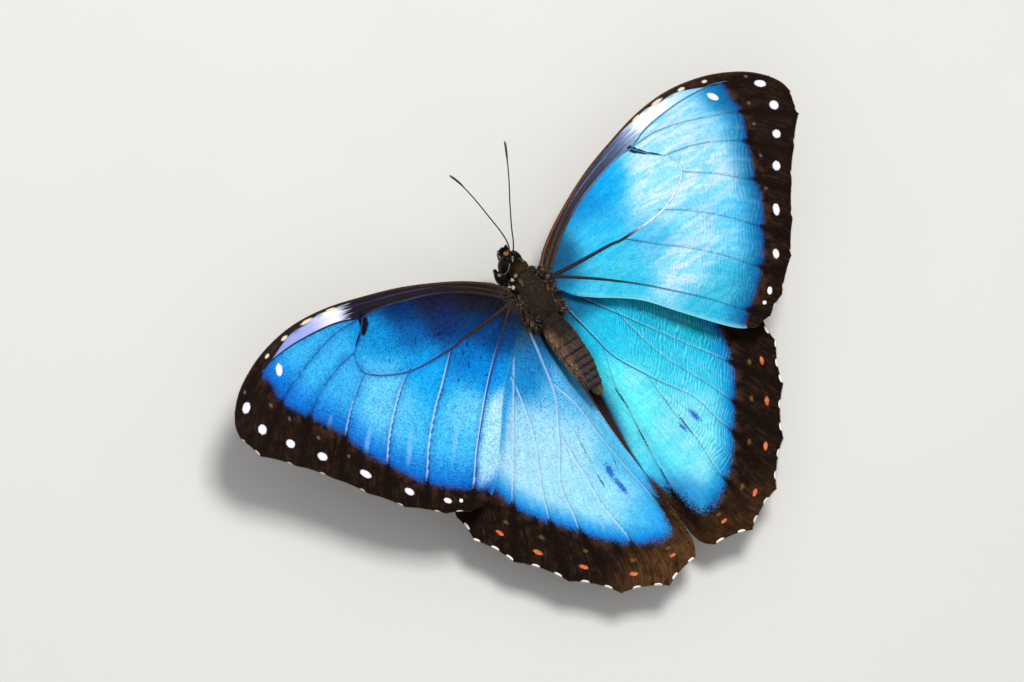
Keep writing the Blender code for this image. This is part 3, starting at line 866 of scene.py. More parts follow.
class Grain:
    """The noises that break up the colours of the upper wings."""

    def __init__(self, p):
        self.spot = p.place()
        self.scales = p.scales(self.spot, 4.6)
        self.coarse = p.noise(self.spot, 0.9, 3.0, 0.6)
        self.fine = p.noise(self.spot, 3.4, 3.0, 0.65)
        lay = p.tint("lay")
        self.streaks = p.noise(p.times(lay, (0.12, 1.5, 1.0)), 1.0, 3.0, 0.6)
        self.rays = p.noise(p.times(lay, (0.25, 2.6, 1.0)), 1.0, 2.0, 0.6)
        self.ripples = p.waves(p.times(lay, (1.0, 0.6, 1.0)), 0.44, 11.0, 2.0, 0.9)


def blue_scales(p, grain):
    """The blue of the wing, with its ripples and their painted highlights and shade, dust, and painted
    white sheen.
    """
    speckle = p.product(p.span(grain.scales, 0.15, 0.85, -0.2, 0.14), p.field("speckled"))
    light = p.product(p.total(speckle, 1.0), p.span(grain.coarse, 0.3, 0.7, 0.92, 1.06))
    light = p.product(light, p.span(grain.streaks, 0.3, 0.7, 0.93, 1.05))
    # painted highlights on the ripple crests and painted shade in their troughs, over the ripples' bump
    crest = p.product(p.field("rippled"), p.span(p.noise(grain.spot, 0.5, 2.0, 0.6), 0.32, 0.6))
    light = p.total(light, p.product(crest, p.swing(grain.ripples, 0.5)))
    colour = p.scaled(p.tint("tint"), light)
    lit = p.product(crest, p.span(grain.ripples, 0.5, 1.0, 0.0, 0.3))
    colour = p.mix(lit, colour, shade((120, 234, 250)))
    # single dark scales
    dust = p.product(p.span(grain.scales, 0.18, 0.36, 1.0, 0.0), p.span(grain.fine, 0.42, 0.56))
    colour = p.mix(p.product(dust, p.field("dusty")), colour, p.times(colour, (0.15, 0.4, 0.6)))
    # painted white sheen, coming and going in soft patches drawn out along the veins
    patchy = p.noise(p.times(grain.spot, (0.085, 0.36, 0.1)), 1.0, 4.0, 0.62, 1.2)
    patchy = p.total(patchy, p.swing(grain.streaks, 0.25))
    sheen = p.mix(p.span(patchy, 0.40, 0.60), (0.50, 0.90, 0.97, 1.0), (1.26, 1.03, 1.0, 1.0))
    return p.mix(p.field("painted_sheen"), colour, p.times(colour, sheen))


def with_folds_and_veins(p, grain, colour):
    """Painted highlights on the folds midway between the veins, painted shade beside the veins, and a
    painted highlight on one side of each vein and a painted shadow on the other.
    """
    # paler folds: painted highlights where the folds catch the light
    wavy = p.total(p.field("fold"), p.swing(grain.coarse, 0.9))
    fold = p.product(p.span(wavy, 0.2, 1.0), p.field("folded"))
    colour = p.mix(fold, colour, shade((140, 206, 255)))
    away, side = p.field("vein"), p.field("vein_side")
    # painted shade, deepening the blue beside the veins
    dusk = p.product(p.span(away, 0.0, 1.9, 1.0, 0.0), p.span(grain.coarse, 0.3, 0.65), p.field("dusky"))
    colour = p.mix(dusk, colour, p.times(colour, (0.3, 0.5, 0.68)))
    vein = p.span(away, 0.10, 0.42, 1.0, 0.0)
    shadow = p.product(vein, p.span(side, -0.5, 0.3, 1.0, 0.25), p.field("vein_shadow"))
    colour = p.mix(shadow, colour, p.scaled(colour, 0.28))
    glint = p.product(p.span(away, 0.22, 0.52, 1.0, 0.0), p.span(side, 0.2, 0.8), p.field("vein_light"))
    return p.mix(glint, colour, shade((206, 230, 255)))


def with_wear_and_rear_highlight(p, grain, colour):
    """Scales rubbed off, deep blue below, dark streaks, and a painted highlight along the rear margin."""
    jitter = p.swing(grain.fine, 1.8)
    worn = p.mix(p.span(grain.scales, 0.3, 0.7), shade((4, 34, 140)), shade((20, 92, 222)))
    colour = p.mix(p.span(p.total(p.field("rubbed"), jitter), 0.0, 0.7, 0.0, 0.85), colour, worn)
    dark_streak = p.span(p.total(p.field("dark_streak"), jitter), 0.1, 0.5, 0.0, 0.85)
    colour = p.mix(dark_streak, colour, shade((2, 16, 52)))
    # a painted highlight along the rear margin
    return p.mix(p.field("rear_light"), colour, shade((150, 226, 246)))


def with_brown_root(p, grain, colour):
    """Hairy brown scales at the wing's root."""
    root = p.total(p.field("root"), p.swing(grain.rays, 1.1))
    brown = p.mix(p.span(grain.rays, 0.35, 0.65), shade((24, 19, 22)), shade((56, 45, 42)))
    return p.mix(p.span(root, 0.25, 0.75), colour, brown)


def border_scales(p, grain):
    """The border's browns, lighter in patches between the veins and beside the blue."""
    patches = p.noise(grain.spot, 0.5, 2.0, 0.55)
    between_veins = p.span(p.field("vein"), 0.2, 1.5)
    lighter = p.product(p.span(grain.rays, 0.36, 0.66), p.span(patches, 0.3, 0.66), between_veins)
    dark = p.mix(lighter, shade((23, 14, 10)), shade((50, 33, 22)))
    tan = p.product(p.field("tanned"), p.span(patches, 0.2, 0.6, 0.3, 1.0))
    tans = p.mix(p.span(grain.rays, 0.3, 0.7), shade((66, 42, 24)), shade((104, 72, 42)))
    dark = p.mix(tan, dark, tans)
    patchy = p.product(between_veins, p.span(patches, 0.4, 0.6))
    near = p.product(p.span(p.field("border"), 0.4, 2.2, 1.0, 0.0), patchy, 0.5)
    dark = p.mix(near, dark, shade((78, 50, 36)))
    return p.scaled(dark, p.span(grain.scales, 0.1, 0.9, 0.8, 1.2))


def with_border(p, grain, colour, dark):
    """The blue deepens to violet, then breaks up into scales over the border."""
    tear = p.total(p.product(grain.fine, 1.7), p.total(p.product(grain.rays, 0.7), grain.scales))
    ragged = p.total(p.field("border"), p.swing(tear, p.field("torn"), 1.7))
    ragged = p.total(ragged, p.span(p.field("vein"), 0.0, 0.9, 0.8, 0.0))
    violet = p.mix(p.span(grain.coarse, 0.4, 0.6), shade((36, 74, 176)), shade((14, 44, 112)))
    colour = p.mix(p.product(p.span(ragged, -1.9, -0.3), 0.5), colour, violet)
    return p.mix(p.span(ragged, -0.9, 0.35), colour, dark)


def with_marks(p, grain, colour, dark):
    """The forewing's front strip and pale patch, and both wings' spots and crescents."""

    def marked(field, low, high, over, jitter=0.5):
        edge = p.total(p.field(field), p.swing(grain.fine, jitter))
        return p.mix(p.span(edge, low, high), colour, over)

    colour = marked("faint", -0.1, 0.9, p.mix(0.45, dark, shade((168, 140, 150))), 1.2)
    strip = p.scaled(p.tint("strip_tone"), p.span(grain.rays, 0.3, 0.7, 0.7, 1.35))
    starting = p.total(p.field("patch_start"), p.swing(grain.rays, 3.2))
    strip_share = p.product(p.span(p.field("strip"), -0.1, 0.15), p.span(starting, -0.8, 1.0, 1.0, 0.0))
    colour = p.mix(strip_share, colour, strip)
    leading = p.mix(grain.coarse, shade((30, 18, 16)), shade((52, 34, 28)))
    colour = marked("leading", -0.02, 0.10, leading, 0.2)
    patch = p.total(p.field("patch"), p.swing(grain.fine, 0.3))
    patch = p.product(p.span(patch, -0.05, 0.30), p.span(starting, -1.0, 0.9))
    pale = p.scaled(p.tint("patch_tone"), p.span(grain.rays, 0.3, 0.7, 0.86, 1.06))
    colour = p.mix(patch, colour, pale)
    colour = marked("bar", -0.1, 0.25, p.tint("bar_tone"), 0.7)
    colour = marked("clouds", -0.3, 0.9, p.mix(0.5, colour, shade((66, 48, 54))), 1.4)
    colour = marked("spots", 0.0, 0.3, shade((248, 242, 250)))
    colour = marked("cream", -0.05, 0.45, shade((236, 212, 188)), 0.7)
    ochre = p.mix(p.span(grain.coarse, 0.3, 0.7), shade((196, 88, 40)), shade((230, 134, 88)))
    colour = marked("ochre", 0.0, 0.35, ochre, 0.9)
    colour = marked("ochre_faint", -0.1, 1.0, shade((120, 88, 48)), 1.4)
    return marked("lunules", 0.0, 0.25, shade((252, 246, 232)), 0.35)


def upper_wing_material():
    """Blue scales with painted sheen, highlights and shade, that end in a dark border with its spots,
    crescents and ochre marks.
    """
    p = Paint("upper_wing_scales")
    grain = Grain(p)
    colour = with_folds_and_veins(p, grain, blue_scales(p, grain))
    colour = with_brown_root(p, grain, with_wear_and_rear_highlight(p, grain, colour))
    dark = border_scales(p, grain)
    colour = with_marks(p, grain, with_border(p, grain, colour, dark), dark)
    height = p.total(p.product(grain.scales, 0.4), p.product(grain.streaks, 0.4))
    height = p.total(height, p.product(p.product(grain.ripples, p.field("rippled")), 1.6))
    roughness = p.span(p.field("border"), -1.0, 0.5, 0.45, 0.65)
    return p.finish(colour, roughness, p.bump(height, 0.05, 0.5), 0.02)


def lower_wing_material():
    """The brown underside: bands, pale lines along the margin and ringed eyespots."""
    p = Paint("lower_wing_scales")
    spot = p.place()
    scales = p.scales(spot, 4.6)
    jitter = p.swing(p.noise(spot, 2.4, 3.0, 0.6), 0.5)
    coarse = p.noise(spot, 0.35, 3.0, 0.6)
    colour = p.mix(p.span(coarse, 0.35, 0.65), shade((78, 56, 40)), shade((112, 84, 60)))
    border = p.total(p.field("border"), p.product(jitter, 2.0))
    for low, high, tone in UNDERSIDE_BANDS:
        band = p.product(p.span(border, low - 0.25, low), p.span(border, high, high + 0.25, 1.0, 0.0))
        colour = p.mix(band, colour, shade(tone))
    eye = p.total(p.field("eyespot"), p.product(jitter, 0.12))
    for edge, tone in EYESPOT_RINGS:
        colour = p.mix(p.span(eye, edge - 0.05, edge + 0.05, 1.0, 0.0), colour, shade(tone))
    vein = p.span(p.field("vein"), 0.10, 0.45, 1.0, 0.0)
    colour = p.mix(p.product(vein, 0.6), colour, shade((52, 36, 27)))
    colour = p.scaled(colour, p.span(scales, 0.1, 0.9, 0.78, 1.2))
    return p.finish(colour, 0.62, p.bump(scales, 0.04, 0.5), 0.25)


def grained_material(name, grain, dark, light, bumps, roughness, specular):
    """The piece's own colours, made darker and lighter by a grain, over finer bumps.

    grain holds a noise's scale, detail and roughness, and bumps holds a scale, a depth in
    millimetres and a strength.
    """
    p = Paint(name)
    spot = p.place()
    colour = p.scaled(p.tint("tint"), p.span(p.noise(spot, *grain), 0.3, 0.7, dark, light))
    scale, depth, strength = bumps
    normal = p.bump(p.noise(spot, scale, 2.0), depth, strength)
    return p.finish(colour, roughness, normal, specular)


def vein_material():
    return grained_material("wing_veins", (2.0, 3.0, 0.6), 0.72, 1.28, (5.0, 0.03, 0.5), 0.55, 0.06)


def fringe_material():
    return grained_material("wing_fringe", (3.0, 2.0), 0.8, 1.15, (8.0, 0.02, 0.4), 0.6, 0.25)


def coat_material():
    return grained_material("body_coat", (2.2, 3.0, 0.6), 0.78, 1.2, (9.0, 0.02, 0.4), 0.55, 0.12)


def feeler_material():
    return grained_material("feeler_cuticle", (4.0, 2.0), 0.7, 1.3, (10.0, 0.02, 0.5), 0.42, 0.45)


def skin_material():
    """Dark cuticle with flat scales, in the same colours as the coat over it."""
    p = Paint("body_skin")
    spot = p.place()
    scales = p.scales(spot, 5.5)
    worn = p.noise(spot, 1.4, 4.0, 0.6)
    light = p.product(p.span(scales, 0.1, 0.9, 0.7, 1.15), p.span(worn, 0.3, 0.7, 0.75, 1.1))
    height = p.total(scales, p.product(worn, 1.2))
    return p.finish(p.scaled(p.tint("tint"), light), 0.62, p.bump(height, 0.07, 0.7), 0.12)


def eye_material():
    """A dark compound eye: tiny facets under a clear gloss, a paler mottling inside."""
    p = Paint("compound_eye")
    spot = p.place()
    facets = p.cells(spot, 9.0, "Distance")
    mottle = p.noise(spot, 1.1)
    colour = p.mix(p.span(mottle, 0.4, 0.7), shade((6, 5, 5)), shade((17, 14, 11)))
    colour = p.mix(p.span(facets, 0.02, 0.07), colour, p.scaled(colour, 0.6))
    return p.finish(colour, 0.26, p.bump(facets, 0.02, 0.35), 0.14, coat=0.02)


def leg_material():
    """Dark scaled cuticle."""
    p = Paint("leg_cuticle")
    scales = p.scales(p.place(), 7.0)
    colour = p.scaled(p.tint("tint"), p.span(scales, 0.1, 0.9, 0.6, 1.3))
    return p.finish(colour, 0.5, p.bump(scales, 0.03, 0.6), 0.4)


def floor_material():
    p = Paint("studio_floor")
    spot = p.place()
    colour = p.mix(p.noise(spot, 0.02, 3.0), shade((220, 218, 214)), shade((226, 224, 220)))
    return p.finish(colour, 0.75, p.bump(p.noise(spot, 0.6, 3.0), 0.02, 0.2), 0.2)


# Wings


def blue_area(wing):
    """The line where the wing's blue ends, and the outline of all that lies within it."""
    edge = through(wing["blue_edge"], np.linspace(0.0, 1.0, 60))
    return edge, [tuple(place) for place in edge] + wing["blue_rest"]


def wing_fields(wing, label, x, y):
    """Every value that the wing materials paint by."""
    vein = np.full(x.shape, 1e9)
    front = np.zeros(x.shape)
    for points, _, _ in wing["veins"]:
        away, ahead = nearest_side(through(points, np.linspace(0.0, 1.0, 40)), x, y)
        front = np.where(away < vein, ahead, front)
        vein = np.minimum(vein, away)
    blue_edge, blue_outline = blue_area(wing)
    edge = distance_to(blue_edge, x, y)
    border = np.where(inside(blue_outline, x, y), -edge, edge)
    if wing is FORE and label == "left":
        border = border + 1.3 * np.exp(-(((x - 50.0) / 5.0) ** 2)) * ease(y, -8.0, 0.0)
    eyespot = np.min([np.hypot(x - a, y - b) / r for a, b, r in wing["eyespots"]], axis=0)
    fields = {
        "vein": vein, "vein_side": front * np.exp(-((vein / 1.5) ** 2)), "border": border,
        "eyespot": np.minimum(eyespot, 3.0),
    }
    fields.update(fore_fields(label, x, y) if wing is FORE else hind_fields(label, x, y))
    fields["rubbed"] = mark_field(RUBBED.get((wing["name"], label), []), x, y)
    fields["dark_streak"] = mark_field(DARK_STREAKS[wing["name"], label], x, y)
    for name in MARK_FIELDS:
        fields.setdefault(name, NO_MARK)
    for name in SHARE_FIELDS:
        fields.setdefault(name, 0.0)
    return {name: np.broadcast_to(values, x.shape) for name, values in fields.items()}


def wing_tones(label, x):
    """The colours of the front strip, of the pale patch beyond it, and of the wedge between."""
    return {
        "strip_tone": linear(toned(STRIP_TONES[label], x)),
        "patch_tone": linear(toned(PATCH_TONES[label], x)),
        "bar_tone": np.tile(linear(BAR_TONES[label]), (len(x), 1)),
    }


def front_of(points, x):
    """How far along the body a line on the wing lies, at each place across it."""
    line = through(points, np.linspace(0.0, 1.0, 120))
    return np.interp(x, line[:, 0], line[:, 1])


def hump(value, middle, width):
    """1 at the middle, fading to both sides within about the width."""
    return np.exp(-(((value - middle) / width) ** 2))


def front_fields(x, y):
    """The forewing's dark front edge, the strip behind it and the pale patch that follows."""
    vein_r = front_of(FORE_R, x)
    behind = y - front_of(FORE_COSTA[:-1], x)  # how far behind the front margin
    strip = np.where(x < 33.6, front_of(FORE_STRIP, x) + 0.1 - y, vein_r - y) - 2.0 * ease(x, 37.0, 38.0)
    patch_front = 0.42 + 0.10 * np.maximum(x - 41.0, 0.0) + 0.6 * ease(x, 46.0, 55.0)
    patch_front = patch_front + 0.5 * hump(x, 43.6, 2.4) + 0.3 * hump(x, 37.8, 1.6)
    patch = np.minimum(behind - patch_front, vein_r - y + 0.05)
    patch = np.minimum(patch, (56.0 - x) * 0.35)
    leading = np.where(x > 30.0, patch_front + 0.12 - behind, 0.35 - behind)
    return {
        "strip": strip, "patch": patch, "patch_start": (x - 35.3 - 0.45 * behind) * 0.6,
        "leading": np.where(x > 56.0, 0.0, leading),
    }


def fore_fields(label, x, y):
    left = label == "left"
    folds = between([FORE_M1, FORE_M2, FORE_M3, FORE_CU1, FORE_CU2, FORE_2A], 0.42, 0.82)
    cream = mark_field(FORE_COSTAL_SPOTS, x, y)
    fringe = mark_field(margin_marks(FORE, FORE_MARGIN_MARKS, 0.8, 0.3, 0.12), x, y)
    rear = np.exp(-((distance_to(FORE_INNER, x, y) / 0.6) ** 2))
    dusty = (0.5 if left else 0.2) * (1.0 - 0.6 * ease(x, 30.0, 50.0))
    return {
        **front_fields(x, y), "bar": mark_field(FORE_BARS[label], x, y),
        "spots": mark_field(FORE_SPOTS, x, y), "faint": mark_field(FORE_FAINT, x, y),
        "cream": np.maximum(cream, fringe), "fold": ridge(folds, 0.6, x, y),
        "clouds": mark_field(FORE_CLOUDS, x, y), "speckled": 1.4 if left else 0.6,
        "dusty": dusty * (1.0 - 0.8 * pale_strip(x, y)), "torn": 1.0 if left else 0.62,
        "folded": 0.4 * ease(y + 0.2 * x, 4.0, 12.0) if left else 0.12,
        "rippled": (0.2 if left else 0.45) * ease(x + 2.0 * y, 26.0, 50.0),
        "vein_shadow": 0.6, "dusky": 0.85 if left else 0.12,
        "vein_light": (0.55 if left else 0.0) * ease(x, 10.0, 20.0) * ease(y + 0.1 * x, 0.0, 8.0),
        "rear_light": (0.08 if left else 0.55) * rear * ease(x, 6.0, 10.0),
        "painted_sheen": 0.25 if left else 0.85,
        "root": 1.0 - ease(np.hypot(x - 3.4, (y + 1.5) * 0.8), 0.6, 5.0 if left else 3.6),
    }


def hind_fields(label, x, y):
    left = label == "left"
    lunules = margin_marks(HIND, HIND_LUNULES, 0.92, 0.30, 0.34)
    folds = between([HIND_SHOULDER, HIND_FRONT, HIND_SECOND, HIND_STEM, HIND_BRANCH], 0.30, 0.80)
    corner = np.exp(-(np.hypot(x - 5.5, (y - 50.5) * 0.8) / 5.0) ** 2)  # by the inner margin's end
    return {
        "lunules": mark_field(lunules, x, y), "ochre": mark_field(HIND_OCHRE, x, y),
        "ochre_faint": mark_field(HIND_OCHRE_FAINT, x, y), "fold": ridge(folds, 0.55, x, y),
        "rippled": (0.2 if left else 1.0) * ease(x, 7.0, 15.0), "folded": 0.35 if left else 0.12,
        "vein_shadow": 0.3 if left else 0.45, "dusky": 0.12, "vein_light": 0.45 if left else 0.15,
        "painted_sheen": 0.15 if left else 0.5,
        "root": 1.0 - ease(np.hypot(x - 3.2, (y - 3.0) * 0.7), 0.8, 4.0 if left else 3.2),
        "speckled": 0.9 if left else 0.6,
        "torn": (1.0 if left else 0.7) + (1.2 if left else 2.2) * corner,
        "dusty": (0.8 if left else 0.25) * (1.0 - ease(np.hypot(x - 3.0, y - 5.0), 10.0, 34.0)),
        "tanned": 0.9 * ease(y - 0.3 * x, 44.0, 56.0) if left else 0.4 * ease(y, 50.0, 60.0),
    }


def surface(wing, s, t):
    """Points on the wing's middle surface, and its normals, on a grid of s and t."""
    plan = wing_plan(wing, s, t)
    x, y = plan[..., 0], plan[..., 1]
    middle = np.dstack([x, y, wing["height"](x, y)])
    along_s = np.gradient(middle, axis=0)
    along_t = np.gradient(middle, axis=1)
    normal = unit(np.cross(along_s, along_t))
    return middle, normal


def blade_grid(wing):
    """Where the blade's grid of points lies from root to margin and from front to rear."""
    rows, columns = BLADE_GRID
    u = np.linspace(0.0, 1.0, rows)
    across = u * (1.0 + ROW_SPREAD * (1.0 - u))
    inset = FRINGE / wing["reach"]
    return np.meshgrid(across * (1.0 - inset), np.linspace(0.0, 1.0, columns), indexing="ij")


def blade_faces(rows, columns):
    """The faces of a closed blade: its top, its underside and its rim.

    With them comes 0 for each face of the top, and 1 for each of the others.
    """
    index = np.arange(rows * columns).reshape(rows, columns)
    corners = [index[:-1, :-1], index[1:, :-1], index[1:, 1:], index[:-1, 1:]]
    quads = np.stack(corners, axis=-1).reshape(-1, 4)
    rim = np.concatenate([index[:-1, 0], index[-1, :-1], index[:0:-1, -1], index[0, :0:-1]])
    after = np.roll(rim, -1)
    total = rows * columns
    edge = np.stack([after, rim, rim + total, after + total], axis=-1)
    faces = np.concatenate([quads, quads[:, ::-1] + total, edge]).tolist()
    return faces, np.repeat([0.0, 1.0], [len(quads), len(quads) + len(rim)])


def blade_swell(fields, s, t):
    """How much the blade swells between its veins: none at its edges, less along the folds."""
    swell = 1.0 - np.exp(-((fields["vein"] / PLEAT_REACH) ** 2))
    swell *= ease(np.minimum(s, 1.0 - s), 0.0, 0.05) * ease(np.minimum(t, 1.0 - t), 0.0, 0.04)
    return swell - 0.3 * fields["fold"]


def blade_tint(wing, label, border, x, y):
    """The wing's colours, with its sheen and some shade painted in, before the material breaks them up.
    """
    tone, width = RIMS[wing["name"], label]
    share = 0.93 * ease(border, -width, -0.2)[:, None]
    if wing is HIND:
        share = share * (0.35 + 0.65 * ease(x, 2.0, 7.0))[:, None]
    blue = pooled(POOLS[wing["name"], label], x, y)
    tint = linear(blue * (1.0 - share) + np.asarray(tone) * share)
    if wing is HIND:
        tint = hind_inner_edge(tint, label, x, y)
    if label == "left":
        tint = along_the_seam(tint, wing, x, y)
    return tint


def make_wing(wing, label, side, upper, lower):
    """One wing blade: a thin closed shell with swells between its veins."""
    s, t = blade_grid(wing)
    middle, normal = (part.reshape(-1, 3) for part in surface(wing, s, t))
    x, y = middle[:, 0].copy(), middle[:, 1].copy()
    s, t = s.ravel(), t.ravel()
    fields = wing_fields(wing, label, x, y)
    middle = middle + normal * (PLEAT * blade_swell(fields, s, t))[:, None]
    points = np.concatenate([middle + normal * MEMBRANE / 2.0, middle - normal * MEMBRANE / 2.0])
    faces, kinds = blade_faces(*BLADE_GRID)
    points, faces = on_side((points, faces), side)
    # how far a point lies from the root and from the front, for what runs along or across
    lay = np.column_stack([s * LAY_REACH[0], t * LAY_REACH[1], np.zeros(len(x))])
    tint = blade_tint(wing, label, fields["border"], x, y)
    colours = {"tint": tint, "lay": lay, **wing_tones(label, x)}
    name = f"{wing['name']}_{label}"
    make_piece(
        f"{name}_blade", points, faces, [upper, lower], [name],
        {field: np.tile(values, 2) for field, values in fields.items()},
        {field: np.tile(values, (2, 1)) for field, values in colours.items()}, kinds,
    )


def pale_strip(x, y):
    """The part of a forewing behind its last vein, where the left one gets a painted pale sheen."""
    behind = ease(y - front_of(FORE_2A, x), -0.2, 2.0)
    return behind * ease(y, 10.5, 14.0) * (1.0 - ease(y, 22.5, 26.5))


def over(share, tint, tone):
    """The tint with the tone laid over it, by a share for each point."""
    share = share[:, None]
    return tint * (1.0 - share) + tone * share


def along_the_seam(tint, wing, x, y):
    """Left wings, where they meet: a painted pale sheen on the forewing, and painted bluer shade on the
    hindwing beside it.
    """
    if wing is FORE:
        return over(0.9 * pale_strip(x, y), tint, linear((180, 230, 252)))
    share = np.exp(-(((y - front_of(FORE_INNER, x) - 2.4) / 1.5) ** 2)) * (1.0 - ease(y, 18.0, 25.0))
    return over(0.9 * (share * ease(x, 10.0, 14.0)), tint, linear((20, 160, 234)))


def hind_inner_edge(tint, label, x, y):
    """Brown in the fold behind the abdomen, darkened to a painted shadow under its tip on the right with
    painted blue shade beside it, and grey where the forewing covers it.
    """
    brown = linear((54, 36, 32))
    if label == "right":
        width = 0.2 + 1.9 * ease(y, 17.0, 21.0) * (1.0 - ease(y, 21.0, 41.0)) - 0.6 * ease(y, 38.0, 42.0)
        # right side: painted blue shade beside the brown, in the abdomen tip's shadow
        shaded = ease(y, 19.0, 22.0) * (1.0 - ease(y, 30.0, 39.0)) * hump(x, width, 1.1)
        tint = tint * (1.0 - 0.75 * shaded[:, None]) + linear((6, 62, 130)) * 0.75 * shaded[:, None]
        # the brown darkens to a painted shadow under the abdomen's tip
        brown = brown * (0.25 + 0.75 * ease(y, 22.5, 28.0))[:, None]
    else:
        width = 0.15 + 2.6 * (1.0 - ease(y, 6.0, 11.0)) + 0.4 * (1.0 - ease(y, 11.0, 22.0))
        width = width - 0.6 * ease(y, 34.0, 38.0)
    tint = over(1.0 - ease(x - width, -0.4, 0.4), tint, brown)
    covered = (1.0 - ease(y - 0.72 * x, -7.0, -3.5)) * ease(x, 9.0, 16.0)
    return over(covered, tint, linear((92, 84, 86)))


def brown_reach(wing, label, vein):
    """Where along a vein the brown of its root begins to fade and where it ends."""
    if vein is FORE_2A and label == "left":
        return (3.0, 11.0)
    if wing is FORE:
        return (9.0, 24.0)
    return (3.0, 9.0) if label == "left" else (5.0, 15.0)


def vein_tint(wing, label, vein, plan):
    """Brown near the root, then a darker tone of the wing around it."""
    x, y = plan[:, 0], plan[:, 1]
    blue = pooled(POOLS[wing["name"], label], x, y)
    colour = blue * 0.25 + np.asarray(VEIN_TONES[wing["name"], label]) * 0.7
    root = 1.0 - ease(np.hypot(x - 4.0, y), *brown_reach(wing, label, vein))
    colour = over(root, colour, np.asarray((50.0, 38.0, 34.0)))
    if vein in (FORE_STRIP, FORE_SUBCOSTA):
        colour = toned(RIB_TONES[label], x)
    elif vein is HIND_INNER_VEIN:
        colour = blue * (0.5, 0.6, 0.7)
    elif vein is FORE_R and label == "left":
        colour = np.tile((34.0, 28.0, 62.0), (len(x), 1))
    # the right forewing's stem turns white further out, a painted highlight
    elif vein is FORE_STEM and label == "right":
        colour = toned(STEM_TONES, x)
    edge, outline = blue_area(wing)
    over_border = np.where(inside(outline, x, y), 0.0, ease(distance_to(edge, x, y), 0.0, 1.0))
    return linear(over(over_border, colour, np.asarray((24.0, 15.0, 13.0))))


def make_veins(wing, label, side, material):
    """The ribs of one wing, standing proud of both its faces."""
    parts, tints = [], []
    at = np.linspace(0.0, 0.985, VEIN_STEPS)
    for vein, first, last in wing["veins"]:
        plan = through(vein, at)
        taper = (1.0 - at) ** (1.0 if vein is FORE_STEM else 1.7)
        radii = VEIN_SIZE * (last + (first - last) * taper)
        path = np.column_stack([plan, wing["height"](plan[:, 0], plan[:, 1]) + radii * 0.2])
        tints.append(vein_tint(wing, label, vein, along_tube(plan, VEIN_SIDES)))
        parts.append(tube(path, radii, VEIN_SIDES, VEIN_FLAT))
    points, faces = on_side(joined(parts), side)
    name = f"{wing['name']}_{label}_veins"
    make_piece(name, points, faces, [material], colours={"tint": np.concatenate(tints)})


def make_front_rib(label, side, material):
    """The stout rib along the front margin of the forewing, rusty on top."""
    sides = 10
    at = np.linspace(0.0, 0.995, 150)
    plan = through(FORE_COSTA, at)
    inward = unit(np.gradient(plan, axis=0)) @ np.array(((0.0, 1.0), (-1.0, 0.0)))
    radii = 0.10 + 0.20 * (1.0 - at) ** 0.8
    plan = plan + inward * (radii + 0.02)[:, None]
    path = np.column_stack([plan, fore_height(plan[:, 0], plan[:, 1])])
    points, faces = on_side(tube(path, radii, sides), side)
    top = np.clip(np.sin(2.0 * math.pi * np.arange(sides) / sides), 0.0, 1.0)
    rust = np.tile(top, len(path)) * np.repeat(1.0 - 0.55 * ease(at, 0.1, 0.6), sides)
    dark = linear((30, 20, 18))
    rusty = linear((70, 50, 38) if label == "left" else (112, 74, 50))
    tint = dark + (rusty - dark) * np.append(rust, (0.0, 0.0))[:, None]
    make_piece(f"forewing_{label}_front_rib", points, faces, [material], colours={"tint": tint})


# Tufts


def tuft_mesh(roots, ahead, up, lengths, widths, lift, tones, uv_roots):
    """Thin tapered locks, each a closed solid that rises a little and bends back down.

    tones holds the colours at the root and at the tip. Each lock is three rings of three
    points and a last point.
    """
    count = len(roots)
    tone_root, tone_tip = tones
    ahead = unit(ahead - up * np.sum(ahead * up, axis=1, keepdims=True))
    aside = unit(np.cross(ahead, up))
    lengths, widths, lift = (np.broadcast_to(v, (count,))[:, None] for v in (lengths, widths, lift))
    points, uv, tone = np.empty((count, 10, 3)), np.empty((count, 10, 2)), np.empty((count, 10, 3))
    for i, (u, thick) in enumerate(TUFT_RINGS):
        rise = lengths * lift * (u - 0.45 * u * u) - (TUFT_SUNK if i == 0 else 0.0)
        middle = roots + ahead * lengths * u + up * rise
        for k, (high, wide) in enumerate(TUFT_SECTION):
            corner = middle + up * widths * thick * high * 0.5
            points[:, i * 3 + k] = corner + aside * widths * thick * wide
            uv[:, i * 3 + k] = uv_roots + ((u - 0.5) * TUFT_PATCH, wide * TUFT_PATCH * 0.4)
            tone[:, i * 3 + k] = tone_root + (tone_tip - tone_root) * u
    points[:, 9] = roots + ahead * lengths + up * lengths * lift * 0.55
    uv[:, 9] = uv_roots + (0.5 * TUFT_PATCH, 0.0)
    tone[:, 9] = tone_tip
    faces = [[0, 1, 2]]
    for i in (0, 3):
        faces += [[i + k, i + 3 + k, i + 3 + (k + 1) % 3, i + (k + 1) % 3] for k in range(3)]
    faces += [[6 + k, 9, 6 + (k + 1) % 3] for k in range(3)]
    starts = np.arange(count)[:, None] * 10
    every = [corners for face in faces for corners in (starts + np.asarray(face)).tolist()]
    return points.reshape(-1, 3), every, uv.reshape(-1, 2), tone.reshape(-1, 3)


def make_tufts(name, sets, material):
    """Several sets of tufts as one piece."""
    points, faces, uv, tone = joined(sets)
    make_piece(name, points, faces, [material], colours={"tint": linear(tone)}, uv=uv)


def wing_uv(x, y):
    """A place on the UV map for each place on a wing."""
    return np.column_stack([(x + 2.0) / 75.0, (y + 22.0) / 90.0])


def straight_up(count):
    """The way up out of the wings, once for each tuft."""
    return np.tile((0.0, 0.0, 1.0), (count, 1))


